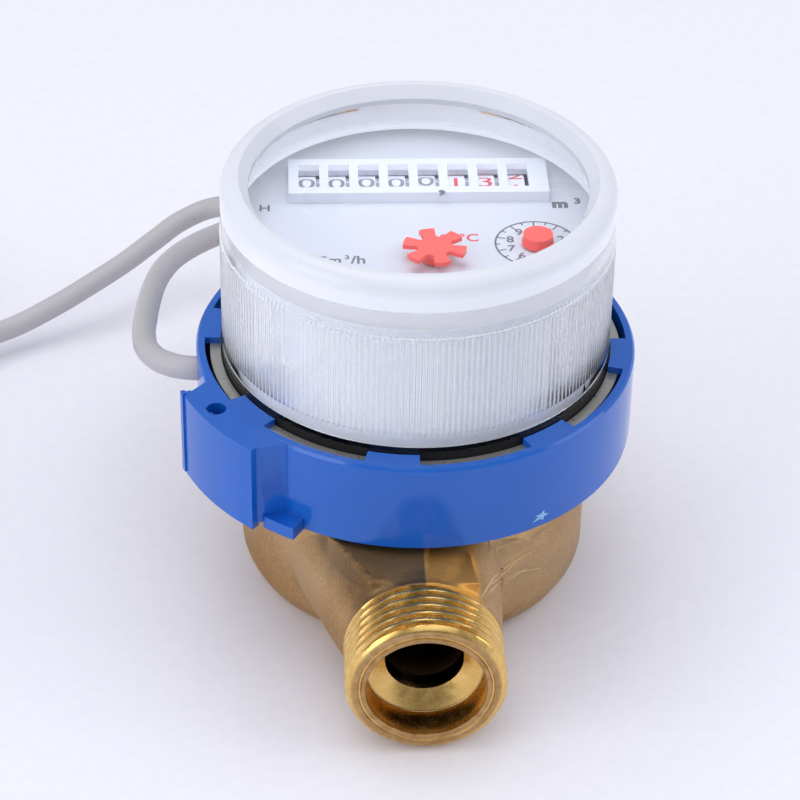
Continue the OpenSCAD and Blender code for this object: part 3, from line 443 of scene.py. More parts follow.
def floor_paper():
    """Pale paper sweep."""
    g = Graph("floor_paper")
    fibre = g.noise(1.2, 4.0)
    g.set(Base_Color=g.mix(g.stretch(fibre, 0.3, 0.7), srgb(240, 240, 250), srgb(243, 243, 252)))
    g.set(Roughness=0.7, Specular_IOR_Level=0.2)
    return g.material


# Some looks below carry a painted glow that lifts their shade
SLOT_LOOKS = {
    "blue_plastic": moulded("blue_plastic", srgb(20, 96, 196), 0.13, 0.04, 0.8, 0.002),
    "white_plastic": white_plastic(),
    "grey_shell": moulded("grey_shell", srgb(228, 231, 242), 0.45, 0.02, painted_glow=0.02),
    "steel": moulded("steel", srgb(172, 171, 168), 0.3, 0.08, 0.6, 0.0008, 0.6),
    "black_plastic": moulded("black_plastic", srgb(34, 34, 37), 0.45, 0.1),
    "black_rubber": moulded("black_rubber", srgb(20, 20, 22), 0.5, 0.1),
    "grey_rubber": moulded("grey_rubber", srgb(78, 78, 82), 0.6, 0.1),
    "natural_plastic": moulded("natural_plastic", srgb(228, 228, 224), 0.4, 0.03, painted_glow=0.12),
    "number_wheel": moulded("number_wheel", srgb(226, 228, 236), 0.4, 0.02, painted_glow=0.05),
    "coral_plastic": moulded("coral_plastic", srgb(246, 104, 96), 0.32, 0.03, painted_glow=0.05),
    "magnet": moulded("magnet", srgb(62, 62, 66), 0.6, 0.12),
    "bearing": moulded("bearing", srgb(150, 40, 52), 0.15, 0.05),
    "board": moulded("board", srgb(28, 96, 62), 0.35, 0.12),
    "reed_glass": moulded("reed_glass", srgb(150, 168, 150), 0.12, 0.05),
    "cable_jacket": moulded("cable_jacket", srgb(184, 182, 187), 0.42, 0.04, 0.5, 0.01),
    "cable_tie": moulded("cable_tie", srgb(24, 24, 26), 0.4, 0.1),
    "copper_cores": moulded("copper_cores", srgb(205, 126, 84), 0.25, 0.1, 0.2, 0.01, 1.0),
    "clear_plastic": clear_plastic("clear_plastic", 1.49, 0.15, srgb(253, 254, 255)),
    "cast_brass": cast_brass(),
}
TURNED_BRASS = turned_brass()
# The flat window hardly bends the view, so that the dial shows where the picture has it
WINDOW = clear_plastic("clear_window", 1.06, 0.0, srgb(245, 247, 252))
# A painted highlight for the edge of the bead above the ribs
PAINTED_BEAD_HIGHLIGHT = moulded("painted_bead_highlight", srgb(246, 248, 255), 0.2, 0.02, painted_glow=0.1)
GREY_INK = moulded("grey_ink", srgb(118, 120, 128), 0.5, 0.06, 0.2, 0.002)
RED_INK = moulded("red_ink", srgb(222, 92, 98), 0.5, 0.06, 0.2, 0.002)
WHEEL_INK = moulded("wheel_ink", srgb(150, 152, 160), 0.5, 0.06, 0.2, 0.002)
SCRATCH_LOOK = moulded("bright_scratch", srgb(226, 196, 142), 0.3, 0.05, 0.2, 0.002, 1.0)
NICK_LOOK = moulded("whitened_blue", srgb(142, 196, 246), 0.4, 0.2, 0.2, 0.02)
SLOT_OF = {row["node"]: row["material_slot"] for row in frame["record"]["subparts"]}


def paint_nodes():
    """Each CAD piece takes the look of its slot."""
    for name, piece in NODES.items():
        piece.data.materials.clear()
        piece.data.materials.append(SLOT_LOOKS[SLOT_OF[name]])


# Pieces

# Faces smaller than this, in square metres, are counted as parts of a rounded edge
NARROW_FACE = 0.5e-6
# A face whose normal points this nearly along the radius belongs to a round wall
ROUND_WALL = 0.985
# Faces whose normals have at least this product blend into each other
BLENDING = 0.5
# A face whose normal points this nearly along Z is level
LEVEL_FACE = 0.95


def piece_from(name, mesh_or_bmesh, material, body="meter"):
    """A new object of this mesh, which rides on a body."""
    mesh = mesh_or_bmesh
    if isinstance(mesh_or_bmesh, bmesh.types.BMesh):
        mesh = bpy.data.meshes.new(name)
        mesh_or_bmesh.to_mesh(mesh)
        mesh_or_bmesh.free()
    made = bpy.data.objects.new(name, mesh)
    bpy.context.scene.collection.objects.link(made)
    for one in material if isinstance(material, (list, tuple)) else [material]:
        made.data.materials.append(one)
    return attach(made, body)


def welded(node):
    """A copy of a CAD piece's mesh with its seams joined, as a bmesh."""
    bm = bmesh.new()
    bm.from_mesh(NODES[node].data)
    bmesh.ops.remove_doubles(bm, verts=bm.verts, dist=1e-6)
    return bm


def with_modifiers(bm, name, settings):
    """The mesh after a list of modifiers, each given as a type and its settings."""
    mesh = bpy.data.meshes.new(name)
    bm.to_mesh(mesh)
    bm.free()
    helper = bpy.data.objects.new(name, mesh)
    bpy.context.scene.collection.objects.link(helper)
    for kind, values in settings:
        modifier = helper.modifiers.new(kind, kind)
        for key, value in values.items():
            setattr(modifier, key, value)
    graph = bpy.context.evaluated_depsgraph_get()
    result = bpy.data.meshes.new_from_object(helper.evaluated_get(graph))
    bpy.data.objects.remove(helper)
    return result


def crisp_edges(mesh, angle_deg, material_index):
    """Sharp edges where faces of one material meet at more than the angle."""
    bm = bmesh.new()
    bm.from_mesh(mesh)
    limit = math.radians(angle_deg)
    for edge in bm.edges:
        same = all(face.material_index == material_index for face in edge.link_faces)
        edge.smooth = not (same and len(edge.link_faces) == 2 and edge.calc_face_angle(0.0) > limit)
    bm.to_mesh(mesh)
    bm.free()


def true_normal(face, place):
    """Normal of a face at one of its corners, or that of the round wall if the face is a part of one."""
    out = Vector((face.center.x, face.center.y, 0)).normalized()
    facing = face.normal.dot(out)
    if abs(facing) < ROUND_WALL:
        return face.normal
    return Vector((place.x, place.y, 0)).normalized()*math.copysign(1.0, facing)


def round_normals(mesh):
    """Large faces keep their own normals, and the narrow faces of rounded edges blend between them."""
    largest = {}
    for face in mesh.polygons:
        for index in face.vertices:
            if index not in largest or face.area > largest[index].area:
                largest[index] = face
    normals = [Vector(corner.vector) for corner in mesh.corner_normals]
    for face in mesh.polygons:
        for corner in face.loop_indices:
            index = mesh.loops[corner].vertex_index
            place = mesh.vertices[index].co
            neighbour = largest[index]
            own = face.area > NARROW_FACE or face.normal.dot(neighbour.normal) < BLENDING
            normals[corner] = true_normal(face if own else neighbour, place)
    mesh.normals_split_custom_set(normals)


def rings_to_mesh(bm, rings, material_index=0, close=True):
    """Joins rings of points into a skin, the last ring back to the first if it closes."""
    rows = [[bm.verts.new(point) for point in ring] for ring in rings]
    count = len(rows[0])
    pairs = list(zip(rows, rows[1:])) + ([(rows[-1], rows[0])] if close else [])
    for low, high in pairs:
        for k in range(count):
            face = bm.faces.new((low[k], low[(k + 1) % count], high[(k + 1) % count], high[k]))
            face.material_index = material_index
            face.smooth = True


def eased(value, low, high):
    """Share from 0 to 1 of the way between two bounds, with a soft start and end."""
    share = min(1.0, max(0.0, (value - low)/(high - low)))
    return share*share*(3 - 2*share)


def thread_height(along_mm, turn):
    """Radius of the threaded wall in millimetres, at a distance along the pipe and a share of a turn."""
    phase = ((along_mm - THREAD_START)/THREAD_PITCH - turn) % 1.0
    slope = 1 - abs(2*phase - 1)
    rounded = eased(slope, THREAD_ROOT, THREAD_ROOT + THREAD_FLANK)
    crest = THREAD_MAJOR_R - THREAD_DEPTH*(1 - rounded)
    left_mm = BODY_HALF/MM - along_mm
    lead_in = THREAD_MAJOR_R - THREAD_CHAMFER + LEAD_IN_RISE*left_mm**LEAD_IN_POWER - LEAD_IN_DROP
    return min(crest, lead_in)


def spigot(bm, turn_about):
    """One threaded spigot, turned from the outlet's place by an angle about the upright axis."""
    end_mm = BODY_HALF/MM
    seat_mm = end_mm - SEAT_DEPTH
    count = 144
    step_mm = THREAD_PITCH/12
    lip_r = SEAT_R + 0.95
    rim_r = THREAD_MAJOR_R - THREAD_CHAMFER
    root_mm = THREAD_START - 6
    # Distance along the pipe and radius: up the bore, over the cone and the seat, and out over the end face
    inner = [(root_mm, THREAD_MAJOR_R - 2.2), (root_mm, BORE_R + 0.02), (seat_mm - CONE_DEPTH, BORE_R),
             (seat_mm - 0.05, CONE_R), (seat_mm, SEAT_R - 0.1), (seat_mm + 0.1, SEAT_R),
             (end_mm - 0.25, SEAT_R), (end_mm - 0.06, SEAT_R + 0.12), (end_mm, SEAT_R + 0.3),
             (end_mm, lip_r - 0.15), (end_mm - 0.3, lip_r), (end_mm - 0.3, lip_r + 0.25),
             (end_mm - 0.1, lip_r + 0.4), (end_mm - 0.1, rim_r - 0.5), (end_mm - 0.14, rim_r - 0.15)]
    front_mm = end_mm - 0.2
    steps = int((front_mm - THREAD_START)/step_mm)
    outer = [front_mm - k*(front_mm - THREAD_START)/steps for k in range(steps + 1)]
    rings = []
    for along_mm, r_mm in inner:
        rings.append([(along_mm, r_mm)]*count)
    for along_mm in outer:
        rings.append([(along_mm, thread_height(along_mm, k/count)) for k in range(count)])
    turn = Matrix.Rotation(turn_about, 3, "Z")
    placed = []
    for ring in rings:
        row = []
        for k, (along_mm, r_mm) in enumerate(ring):
            a = 2*math.pi*k/count
            row.append(turn @ Vector((r_mm*math.cos(a)*MM, -along_mm*MM, PIPE_Z + r_mm*math.sin(a)*MM)))
        placed.append(row)
    rings_to_mesh(bm, placed, 1)


def slimmer_neck(place):
    """Draws in the neck on the side where the water way runs straight, down to the bowl's own wall."""
    sign = 1 if place.y < 0 else -1
    side, along, height = place.x*sign/MM, -place.y*sign/MM, place.z/MM
    on_neck = side >= NECK_CORE and NECK_FROM < along < NECK_TO
    in_bowl = math.hypot(side, along) < BOWL_R + 0.2
    in_bore = math.hypot(side, height - PIPE_Z/MM) < NECK_BORE_R
    on_ridge = height > RIDGE_LOW and math.hypot(side, along) < BOWL_R + RIDGE_REACH
    if not on_neck or in_bowl or in_bore or on_ridge:
        return place
    half = NECK_END_HALF + (NECK_END - along)*NECK_FLARE
    wanted = NECK_END_HALF + (NECK_END - along)*NECK_SLIM_FLARE
    side = NECK_CORE + (side - NECK_CORE)*(wanted - NECK_CORE)/(half - NECK_CORE)
    drop = max(0.0, BOWL_CORNER - height)
    wall = BOWL_R - BOWL_CORNER + math.sqrt(max(0.0, BOWL_CORNER**2 - drop**2))
    if math.hypot(side, along) < wall:
        along = math.sqrt(max(0.0, wall**2 - side**2))
    return Vector((side*MM*sign, -along*MM*sign, place.z))


def cast_body():
    """The body: a copy of the CAD solid with soft cast edges and skin, and two turned spigots."""
    cut = (THREAD_START - 0.1)*MM
    mesh = with_modifiers(welded("brass_body"), "cast_form", [
        ("REMESH", {"mode": "VOXEL", "voxel_size": 0.5*MM}),
        ("SMOOTH", {"factor": 0.5, "iterations": 3}),
        ("DECIMATE", {"ratio": 0.35}),
    ])
    bm = bmesh.new()
    bm.from_mesh(mesh)
    for side in (-1, 1):
        geometry = bm.verts[:] + bm.edges[:] + bm.faces[:]
        bmesh.ops.bisect_plane(bm, geom=geometry, plane_co=(0, side*cut, 0), plane_no=(0, side, 0),
                               clear_outer=True)
        rim = [e for e in bm.edges if e.is_boundary and abs(e.verts[0].co.y - side*cut) < 1e-5]
        bmesh.ops.bridge_loops(bm, edges=rim)
    for vert in bm.verts:
        vert.co = slimmer_neck(vert.co)
    bm.normal_update()
    for vert in bm.verts:
        # The foot stays flat, and the cut ends stay against the spigots
        if vert.co.z < 0.4*MM or abs(vert.co.y) > cut - 0.1*MM:
            continue
        wave = sum(height*noise.noise(vert.co/(size*MM)) for height, size in CAST_WAVES)
        vert.co += vert.normal*wave*MM
    for face in bm.faces:
        face.smooth = True
    spigot(bm, 0.0)
    spigot(bm, math.pi)
    bmesh.ops.recalc_face_normals(bm, faces=bm.faces)
    body = piece_from("brass_body_cast", bm, [SLOT_LOOKS["cast_brass"], TURNED_BRASS])
    crisp_edges(body.data, THREAD_CRISP_DEG, material_index=1)
    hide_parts("brass_body")
    return body


# Angles in degrees: faces that meet at less are one flat face, sharper edges are rounded, and edges that are
# still sharp after that stay crisp
FLAT_DEG = 0.6
ROUNDED_DEG = 32
CRISP_DEG = 40
# Width of the locking ring's rounded edges, in millimetres
RING_EDGE = 0.25


def softened(node, width_mm, slot):
    """A copy of a CAD piece with its sharp edges rounded, which stands for it."""
    bm = welded(node)
    bmesh.ops.dissolve_limit(bm, angle_limit=math.radians(FLAT_DEG), verts=bm.verts, edges=bm.edges)
    mesh = with_modifiers(bm, node + "_form", [
        ("BEVEL", {"width": width_mm*MM, "segments": 2, "limit_method": "ANGLE",
                   "angle_limit": math.radians(ROUNDED_DEG), "use_clamp_overlap": True}),
        ("WEIGHTED_NORMAL", {"keep_sharp": True}),
    ])
    mesh.shade_smooth()
    mesh.set_sharp_from_angle(angle=math.radians(CRISP_DEG))
    round_normals(mesh)
    mesh.materials.clear()
    made = piece_from(node + "_soft_edged", mesh, SLOT_LOOKS[slot])
    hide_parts(node)
    return made


# Ends of the narrow seam behind the curved face of the clasp, in millimetres
SEAM_ENDS = [(-34.6, -20.9), (-29.6, -28.1)]
SEAM_LOW = 44.0
SEAM_HIGH = 44.9
# How far the filling reaches inward, outward at its ends, and further outward at its middle
SEAM_INWARD = 0.12
SEAM_OUTWARD = 0.1
SEAM_BULGE = 0.35


def clasp_seam():
    """Plastic that fills the hair-thin seam between the clasp's block and its curved face."""
    first, last = [Vector((x, y, 0))*MM for x, y in SEAM_ENDS]
    out = (last - first).cross(Vector((0, 0, 1))).normalized()
    if out.dot(first) < 0:
        out.negate()
    bm = bmesh.new()
    count = 12
    rows = []
    for k in range(count + 1):
        share = k/count
        # The outer side follows the curve of the clasp's face
        bulge = SEAM_OUTWARD + SEAM_BULGE*math.sin(math.pi*share)
        at = first.lerp(last, share)
        inner = at - out*SEAM_INWARD*MM
        outer = at + out*bulge*MM
        rows.append([bm.verts.new(place + Vector((0, 0, z*MM))) for place, z in (
            (inner, SEAM_LOW), (outer, SEAM_LOW), (outer, SEAM_HIGH), (inner, SEAM_HIGH))])
    for low, high in zip(rows, rows[1:]):
        for k in range(4):
            bm.faces.new((low[k], low[(k + 1) % 4], high[(k + 1) % 4], high[k]))
    bm.faces.new(rows[0])
    bm.faces.new(rows[-1])
    bmesh.ops.recalc_face_normals(bm, faces=bm.faces)
    piece_from("clasp_seam", bm, SLOT_LOOKS["blue_plastic"])


def clear_case():
    """The clear case, with the two faces of its window in a look of their own, and a painted highlight on the
    bead's edge.
    """
    bm = welded("register_case")
    for face in bm.faces:
        flat = abs(face.normal.z) > LEVEL_FACE
        middle = face.calc_center_median()
        outside = math.hypot(middle.x, middle.y) > BEZEL_R - 0.4*MM
        face.material_index = 1 if flat and middle.z > WINDOW_LOW else 0
        # The edge of the bead above the ribs gets a painted highlight
        if flat and outside and BEAD_LOW < middle.z < BEAD_HIGH:
            face.material_index = 2
    made = piece_from("register_case_clear", bm, [SLOT_LOOKS["clear_plastic"], WINDOW, PAINTED_BEAD_HIGHLIGHT])
    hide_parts("register_case")


def coil_centre(points):
    """Centre of the coil and the angle at which the lead meets its outer turn."""
    way = points[-1] - points[-2]
    way.z = 0
    way.normalize()
    side = Vector((way.y, -way.x, 0))
    touch = points[-1] + way*ENTRY_RUN
    outer_r = COIL_R + CABLE_D
    return touch + side*outer_r, math.atan2(-side.y, -side.x)


def coil_points(points):
    """The coil's turns: inward along the top layer, down, outward along the lower layer, then the tail."""
    centre, first_angle = coil_centre(points)
    low = TIE_T + CABLE_D/2

    def spot(row, layer):
        """Radius and height of the lead's middle in a row and layer of the coil."""
        return COIL_R + (row - 1)*CABLE_D, low + layer*CABLE_D

    result = []
    for k, (row, layer) in enumerate(COIL_ORDER):
        next_row, next_layer = (COIL_ORDER + [COIL_END])[k + 1]
        if layer == 0:
            span = MOVE_LOWER
        elif next_layer == 0:
            span = MOVE_DOWN
        else:
            span = MOVE_UPPER
        r0, z0 = spot(row, layer)
        r1, z1 = spot(next_row, next_layer)
        for step in range(COIL_POINTS):
            share = step/COIL_POINTS
            move = eased(share, *span)
            a = first_angle - 2*math.pi*share
            r = r0 + (r1 - r0)*move
            z = z0 + (z1 - z0)*move
            if k == 0:
                # The first turn lies down where no lower turn carries it
                z -= CABLE_D*eased(share, *SINK)*(1 - eased(share, *RISE))
            result.append(Vector((centre.x + r*math.cos(a), centre.y + r*math.sin(a), z)))
    last_angle = -math.pi/2
    sweep = (first_angle - last_angle) % (2*math.pi)
    end_r = spot(*COIL_END)[0]
    steps = 4
    for step in range(steps + 1):
        a = first_angle - sweep*step/steps
        result.append(Vector((centre.x + end_r*math.cos(a), centre.y + end_r*math.sin(a), low)))
    for share in (0.5, 1.0):
        result.append(Vector((centre.x - TAIL_RUN*share, centre.y - end_r, low)))
    return result


def lead():
    """The grey lead as one curve, with its bare cores, coil and tie."""
    route = [Vector(p)*MM for p in CABLE_ROUTE]
    points = route + coil_points(route)
    curve = bpy.data.curves.new("signal_lead", "CURVE")
    curve.dimensions = "3D"
    curve.bevel_depth = CABLE_D/2
    curve.bevel_resolution = 6
    curve.resolution_u = 6
    curve.use_fill_caps = True
    line = curve.splines.new("BEZIER")
    line.bezier_points.add(len(points) - 1)
    for knot, place in zip(line.bezier_points, points):
        knot.co = place
        knot.handle_left_type = "AUTO"
        knot.handle_right_type = "AUTO"
    made = bpy.data.objects.new("signal_lead", curve)
    bpy.context.scene.collection.objects.link(made)
    curve.materials.append(SLOT_LOOKS["cable_jacket"])
    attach(made, "meter")
    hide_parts("signal_cable", "cable_coil")
    cores = bare_cores(points[-1])


def bare_cores(end):
    """Two stripped cores that stick out of the lead's far end, along -X."""
    bm = bmesh.new()
    core_r = 0.7*MM
    tip_r = 0.02*MM
    length = 12*MM
    inside = -1.0*MM
    off_middle = core_r + 0.1*MM
    profile = [(inside, tip_r), (inside, core_r), (length - 0.2*MM, core_r),
               (length, core_r*0.8), (length, tip_r)]
    count = 16
    angles = [2*math.pi*k/count for k in range(count)]
    for side in (-1, 1):
        middle_y = end.y + side*off_middle
        rings = [[Vector((end.x - along, middle_y + r*math.cos(a), end.z + r*math.sin(a))) for a in angles]
                 for along, r in profile]
        rings_to_mesh(bm, rings, close=False)
    bmesh.ops.recalc_face_normals(bm, faces=bm.faces)
    made = piece_from("bare_cores", bm, SLOT_LOOKS["copper_cores"])
    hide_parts("cable_cores")
    return made


# Marks of use

# Where the picture shows them, in pixels: the course of each scratch on the bowl, and the burr on the ring
SCRATCHES_PX = [
    [(480, 600), (486, 590), (494, 577), (508, 566), (524, 556), (538, 549)],
    [(489, 593), (500, 582), (518, 572), (545, 567)],
    [(492, 584), (506, 571), (520, 560)],
    [(498, 588), (512, 578), (530, 566)],
]
NICK_PX = (541, 516)
# Half width of a scratch, the steps between two of its points, and how bluntly its ends taper
SCRATCH_HALF = 0.14*MM
SCRATCH_STEPS = 6
SCRATCH_TAPER = 0.4
# The burr: its reach and height in millimetres, how flat it is, and the share of its reach in each direction
NICK_SIZE = 1.6
NICK_HEIGHT = 0.4
NICK_FLAT = 0.6
NICK_RAYS = [1.0, 0.5, 1.2, 0.5, 0.8, 0.45, 1.4, 0.6, 1.0, 0.45]


def seen_at(tree, pixel):
    """Place and normal of the mesh that the camera sees at a pixel."""
    camera = bpy.context.scene.camera
    half = PICTURE_PX/2
    way = Vector(((pixel[0] - half)/FOCAL_PX, -(pixel[1] - half)/FOCAL_PX, -1)).normalized()
    return tree.ray_cast(camera.location, camera.rotation_quaternion @ way)[:2]


def tree_of(piece):
    """Search tree of a piece's faces."""
    bm = bmesh.new()
    bm.from_mesh(piece.data)
    tree = BVHTree.FromBMesh(bm)
    bm.free()
    return tree


def scratches(body):
    """Bright scratches on the bowl, as thin strips that lie on its skin."""
    tree = tree_of(body)
    bm = bmesh.new()
    shares = [k/SCRATCH_STEPS for k in range(SCRATCH_STEPS)]
    for course in SCRATCHES_PX:
        dense = []
        for (x0, y0), (x1, y1) in zip(course, course[1:]):
            dense += [(x0 + (x1 - x0)*share, y0 + (y1 - y0)*share) for share in shares]
        found = [seen_at(tree, pixel) for pixel in dense]
        found = [(place, normal) for place, normal in found if place is not None]
        rows = []
        for k, (place, normal) in enumerate(found):
            ahead = found[min(k + 1, len(found) - 1)][0]
            back = found[max(k - 1, 0)][0]
            across = normal.cross(ahead - back).normalized()
            taper = math.sin(math.pi*(k + 0.5)/len(found))**SCRATCH_TAPER
            lifted = place + normal*0.02*MM
            reach = across*SCRATCH_HALF*taper
            rows.append((bm.verts.new(lifted - reach), bm.verts.new(lifted + reach)))
        for low, high in zip(rows, rows[1:]):
            bm.faces.new((low[0], low[1], high[1], high[0]))
    made = piece_from("body_scratches", bm, SCRATCH_LOOK)


def nick(ring):
    """Whitened burr at the lower edge of the locking ring."""
    place, normal = seen_at(tree_of(ring), NICK_PX)
    up = Vector((0, 0, 1))
    side = up.cross(normal).normalized()
    bm = bmesh.new()
    middle = bm.verts.new(place + normal*NICK_HEIGHT*MM)
    tips = []
    for k, reach in enumerate(NICK_RAYS):
        a = 2*math.pi*k/len(NICK_RAYS)
        way = side*math.cos(a) + up*math.sin(a)*NICK_FLAT
        tips.append(bm.verts.new(place + way*NICK_SIZE*reach*MM + normal*0.03*MM))
    for first, second in zip(tips, tips[1:] + tips[:1]):
        bm.faces.new((middle, first, second))
    made = piece_from("ring_nick", bm, NICK_LOOK)


# Printing on the dial and the wheels

# Height of a capital as a share of the font's size
CAPITAL_SHARE = 0.72


def letters(text, height_mm, bold_mm, width=1.0):
    """Flat outline of a text, centred, as a bmesh in metres: X along the line, Y up."""
    curve = bpy.data.curves.new("letters", "FONT")
    curve.body = text
    curve.align_x = "CENTER"
    curve.align_y = "CENTER"
    curve.size = height_mm*MM/CAPITAL_SHARE
    curve.offset = bold_mm*MM
    curve.resolution_u = 4
    helper = bpy.data.objects.new("letters", curve)
    bpy.context.scene.collection.objects.link(helper)
    graph = bpy.context.evaluated_depsgraph_get()
    mesh = bpy.data.meshes.new_from_object(helper.evaluated_get(graph))
    bpy.data.objects.remove(helper)
    bm = bmesh.new()
    bm.from_mesh(mesh)
    low = min(v.co.y for v in bm.verts)
    high = max(v.co.y for v in bm.verts)
    for vert in bm.verts:
        vert.co.x *= width
        vert.co.y -= (low + high)/2
    return bm


def sliced(bm, step):
    """Cuts a flat mesh by level lines, so that it can bend round a drum."""
    high = max(abs(v.co.y) for v in bm.verts)
    count = int(high/step) + 1
    for k in range(-count, count + 1):
        geometry = bm.verts[:] + bm.edges[:] + bm.faces[:]
        bmesh.ops.bisect_plane(bm, geom=geometry, plane_co=(0, k*step, 0), plane_no=(0, 1, 0))
    return bm


def merge_into(bm, other):
    """Adds another bmesh to this one, and frees it."""
    mesh = bpy.data.meshes.new("part")
    other.to_mesh(mesh)
    other.free()
    bm.from_mesh(mesh)
    bpy.data.meshes.remove(mesh)


INK_LIFT = 0.015*MM
SHOWN = [0, 0, 0, 0, 0, 1, 3, 2]
# How far each wheel has rolled past its digit, in digits
ROLLED = [0.0, 0.02, -0.02, 0.0, -0.11, 0.0, -0.02, -0.5]
READ_TILT_DEG = -0.8
DIGIT_H = 3.3
# Width of the digits, as a multiple of the font's own
DIGIT_W = 1.36
DIGIT_BOLD = 0.01
# The digits lie this far left of the wheel's joint
DIGIT_SHIFT = 0.35*MM
DIGIT_SLICE = 0.4*MM
# The wheels from this one on, counted from 0, show red digits
RED_FROM = 5


def frame_wheel_x(i):
    """Place of number wheel i along X, from its joint."""
    joint = next(j for j in frame["joints"] if j["name"] == f"wheel_{i + 1}_spin")
    return joint["pos_m"][0]


def wheel_digits():
    """The ten digits printed round each number wheel."""
    r = WHEEL_R + INK_LIFT
    for i in range(WHEEL_COUNT):
        middle_x = frame_wheel_x(i) - DIGIT_SHIFT
        bm = bmesh.new()
        for digit in range(10):
            flat = sliced(letters(str(digit), DIGIT_H, DIGIT_BOLD, DIGIT_W), DIGIT_SLICE)
            behind = digit - SHOWN[i] - ROLLED[i]
            centre = math.radians(READ_TILT_DEG) - 2*math.pi/10*behind
            for vert in flat.verts:
                a = centre - vert.co.y/WHEEL_R
                vert.co = Vector((middle_x + vert.co.x, WHEEL_Y - r*math.sin(a), WHEEL_Z + r*math.cos(a)))
            merge_into(bm, flat)
        ink = RED_INK if i >= RED_FROM else WHEEL_INK
        made = piece_from(f"wheel_{i + 1}_digits", bm, ink, f"wheel_{i + 1}")


def on_dial(bm, x_mm, y_mm, turn_deg=0.0, z=DIAL_Z):
    """Lays a flat print on the dial at a place, or at another height."""
    turn = Matrix.Rotation(math.radians(turn_deg), 3, "Z")
    for vert in bm.verts:
        vert.co = turn @ vert.co + Vector((x_mm*MM, y_mm*MM, z + INK_LIFT))
    return bm


# Small dial, in millimetres: its centre, its circle, the strokes inward from that, and its numbers
SMALL_DIAL = (19.1, -7.0)
SMALL_DIAL_R = 6.7
CIRCLE_LINE = 0.32
STROKE_COUNT = 20
STROKE_LINE = 0.28
LONG_STROKE = 1.5
SHORT_STROKE = 0.8
NUMBER_R = 4.4
NUMBER_H = 1.85
NUMBER_BOLD = 0.06
# Grey print beside it: text, height, boldness, place and turn in degrees
GREY_PRINT = [
    ("m", 2.5, 0.2, 24.0, 4.9, 0.0),
    ("3", 1.7, 0.1, 27.0, 6.1, 0.0),
    ("H", 2.0, 0.05, -25.4, 4.6, 0.0),
    ("1.5m", 2.1, 0.07, -15.8, -11.4, 0.0),
    ("3", 1.2, 0.05, -12.0, -10.6, 0.0),
    ("/h", 2.3, 0.07, -10.2, -11.4, 0.0),
    ("\u00d7", 2.2, 0.05, 13.2, -14.0, 45.0),
]


def stroke(bm, centre, length_mm, angle):
    """A short radial stroke of the small dial, inward from its circle."""
    way = Vector((math.sin(angle), math.cos(angle), 0))
    side = Vector((way.y, -way.x, 0))*STROKE_LINE/2*MM
    inner = centre + way*(SMALL_DIAL_R - length_mm)*MM
    outer = centre + way*SMALL_DIAL_R*MM
    corners = [inner - side, inner + side, outer + side, outer - side]
    bm.faces.new([bm.verts.new(corner) for corner in corners])


def dial_print():
    """Generic print on the dial: the small scale with its numbers, the unit and plain ratings."""
    bm = bmesh.new()
    count = 96
    ways = [Vector((math.cos(2*math.pi*k/count), math.sin(2*math.pi*k/count), 0)) for k in range(count)]
    centre = Vector((SMALL_DIAL[0]*MM, SMALL_DIAL[1]*MM, DIAL_Z + INK_LIFT))
    rows = []
    for r in (SMALL_DIAL_R - CIRCLE_LINE/2, SMALL_DIAL_R + CIRCLE_LINE/2):
        rows.append([bm.verts.new(centre + way*r*MM) for way in ways])
    for k in range(count):
        bm.faces.new((rows[0][k], rows[1][k], rows[1][(k + 1) % count], rows[0][(k + 1) % count]))
    for k in range(STROKE_COUNT):
        stroke(bm, centre, LONG_STROKE if k % 2 == 0 else SHORT_STROKE, 2*math.pi*k/STROKE_COUNT)
    for digit in range(10):
        a = 2*math.pi*digit/10
        spot = (SMALL_DIAL[0] + NUMBER_R*math.sin(a), SMALL_DIAL[1] + NUMBER_R*math.cos(a))
        merge_into(bm, on_dial(letters(str(digit), NUMBER_H, NUMBER_BOLD), *spot))
    for text, height, bold, x_mm, y_mm, turn_deg in GREY_PRINT:
        merge_into(bm, on_dial(letters(text, height, bold), x_mm, y_mm, turn_deg))
    made = piece_from("dial_print", bm, GREY_INK)
    heat = on_dial(letters("90\u00b0C", 2.2, 0.06), 6.6, -5.0)
    piece_from("heat_rating", heat, RED_INK)
    comma = on_dial(letters(",", 4.6, 0.14), 4.2, 5.75, 0.0, BOX_TOP)
    piece_from("decimal_mark", comma, GREY_INK)


# Stage

# The studio's light: its tint, its strength on the camera's side and elsewhere, and the span of the
# direction's Y over which that changes
STUDIO_TINT = (0.95, 0.96, 1.0, 1.0)
STUDIO_DIM = 0.26
STUDIO_BRIGHT = 0.62
STUDIO_SPAN = (-0.95, -0.25)
FLOOR_HALF = 2.0


def area_lamp(name, at_mm, aim_mm, size, power):
    """A soft rectangular lamp; places in millimetres, sizes in metres, power in watts."""
    data = bpy.data.lights.new(name, "AREA")
    data.shape = "RECTANGLE"
    data.size, data.size_y = size
    data.energy = power
    lamp = bpy.data.objects.new(name, data)
    bpy.context.scene.collection.objects.link(lamp)
    lamp.location = Vector(at_mm)*MM
    lamp.rotation_mode = "QUATERNION"
    lamp.rotation_quaternion = (Vector(aim_mm) - Vector(at_mm)).to_track_quat("-Z", "Y")


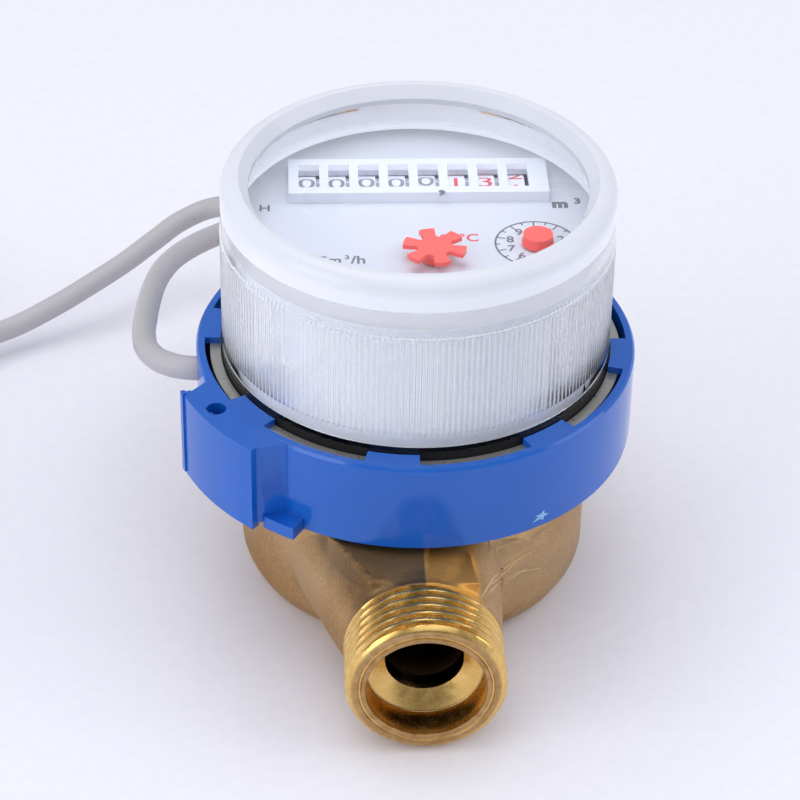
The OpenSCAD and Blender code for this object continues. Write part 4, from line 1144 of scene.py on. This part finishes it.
def stage():
    """Floor, lamps, world and the camera at the picture's place."""
    scene = bpy.context.scene
    corners = [(x*FLOOR_HALF, y*FLOOR_HALF, 0) for x, y in ((-1, -1), (1, -1), (1, 1), (-1, 1))]
    mesh = bpy.data.meshes.new("floor")
    mesh.from_pydata(corners, [], [(0, 1, 2, 3)])
    floor = bpy.data.objects.new("floor", mesh)
    scene.collection.objects.link(floor)
    mesh.materials.append(floor_paper())

    world = bpy.data.worlds.new("studio")
    scene.world = world
    world.use_nodes = True
    tree = world.node_tree
    ground = tree.nodes["Background"]
    ground.inputs["Color"].default_value = STUDIO_TINT
    # The room is darker on the camera's side than overhead and at the sides
    way = tree.nodes.new("ShaderNodeTexCoord")
    parts = tree.nodes.new("ShaderNodeSeparateXYZ")
    level = tree.nodes.new("ShaderNodeMapRange")
    level.inputs["From Min"].default_value = STUDIO_SPAN[0]
    level.inputs["From Max"].default_value = STUDIO_SPAN[1]
    level.inputs["To Min"].default_value = STUDIO_DIM
    level.inputs["To Max"].default_value = STUDIO_BRIGHT
    tree.links.new(way.outputs["Generated"], parts.inputs[0])
    tree.links.new(parts.outputs["Y"], level.inputs["Value"])
    tree.links.new(level.outputs["Result"], ground.inputs["Strength"])

    area_lamp("top_softbox", (-150, 150, 1100), (0, 0, 30), (0.9, 0.9), 3.8)
    area_lamp("left_softbox", (-820, -520, 380), (0, 0, 30), (0.7, 0.7), 3.4)
    area_lamp("right_softbox", (900, -100, 550), (0, 0, 40), (0.6, 0.9), 2.4)
    area_lamp("front_softbox", (150, -800, 900), (0, 0, 40), (0.9, 0.5), 1.5)

    data = bpy.data.cameras.new("camera")
    data.sensor_width = SENSOR_MM
    data.lens = FOCAL_PX/PICTURE_PX*SENSOR_MM
    data.clip_start = 0.01
    camera = bpy.data.objects.new("camera", data)
    scene.collection.objects.link(camera)
    at, aim = Vector(CAMERA_AT)*MM, Vector(CAMERA_AIM)*MM
    camera.location = at
    camera.rotation_mode = "QUATERNION"
    roll = Quaternion((0, 0, 1), math.radians(CAMERA_ROLL_DEG))
    camera.rotation_quaternion = (aim - at).to_track_quat("-Z", "Y") @ roll
    scene.camera = camera
    scene.view_settings.view_transform = "Standard"


stage()
paint_nodes()
lead()
brass = cast_body()
scratches(brass)
locking_ring = softened("locking_ring", RING_EDGE, "blue_plastic")
nick(locking_ring)
clasp_seam()
clear_case()
wheel_digits()
dial_print()
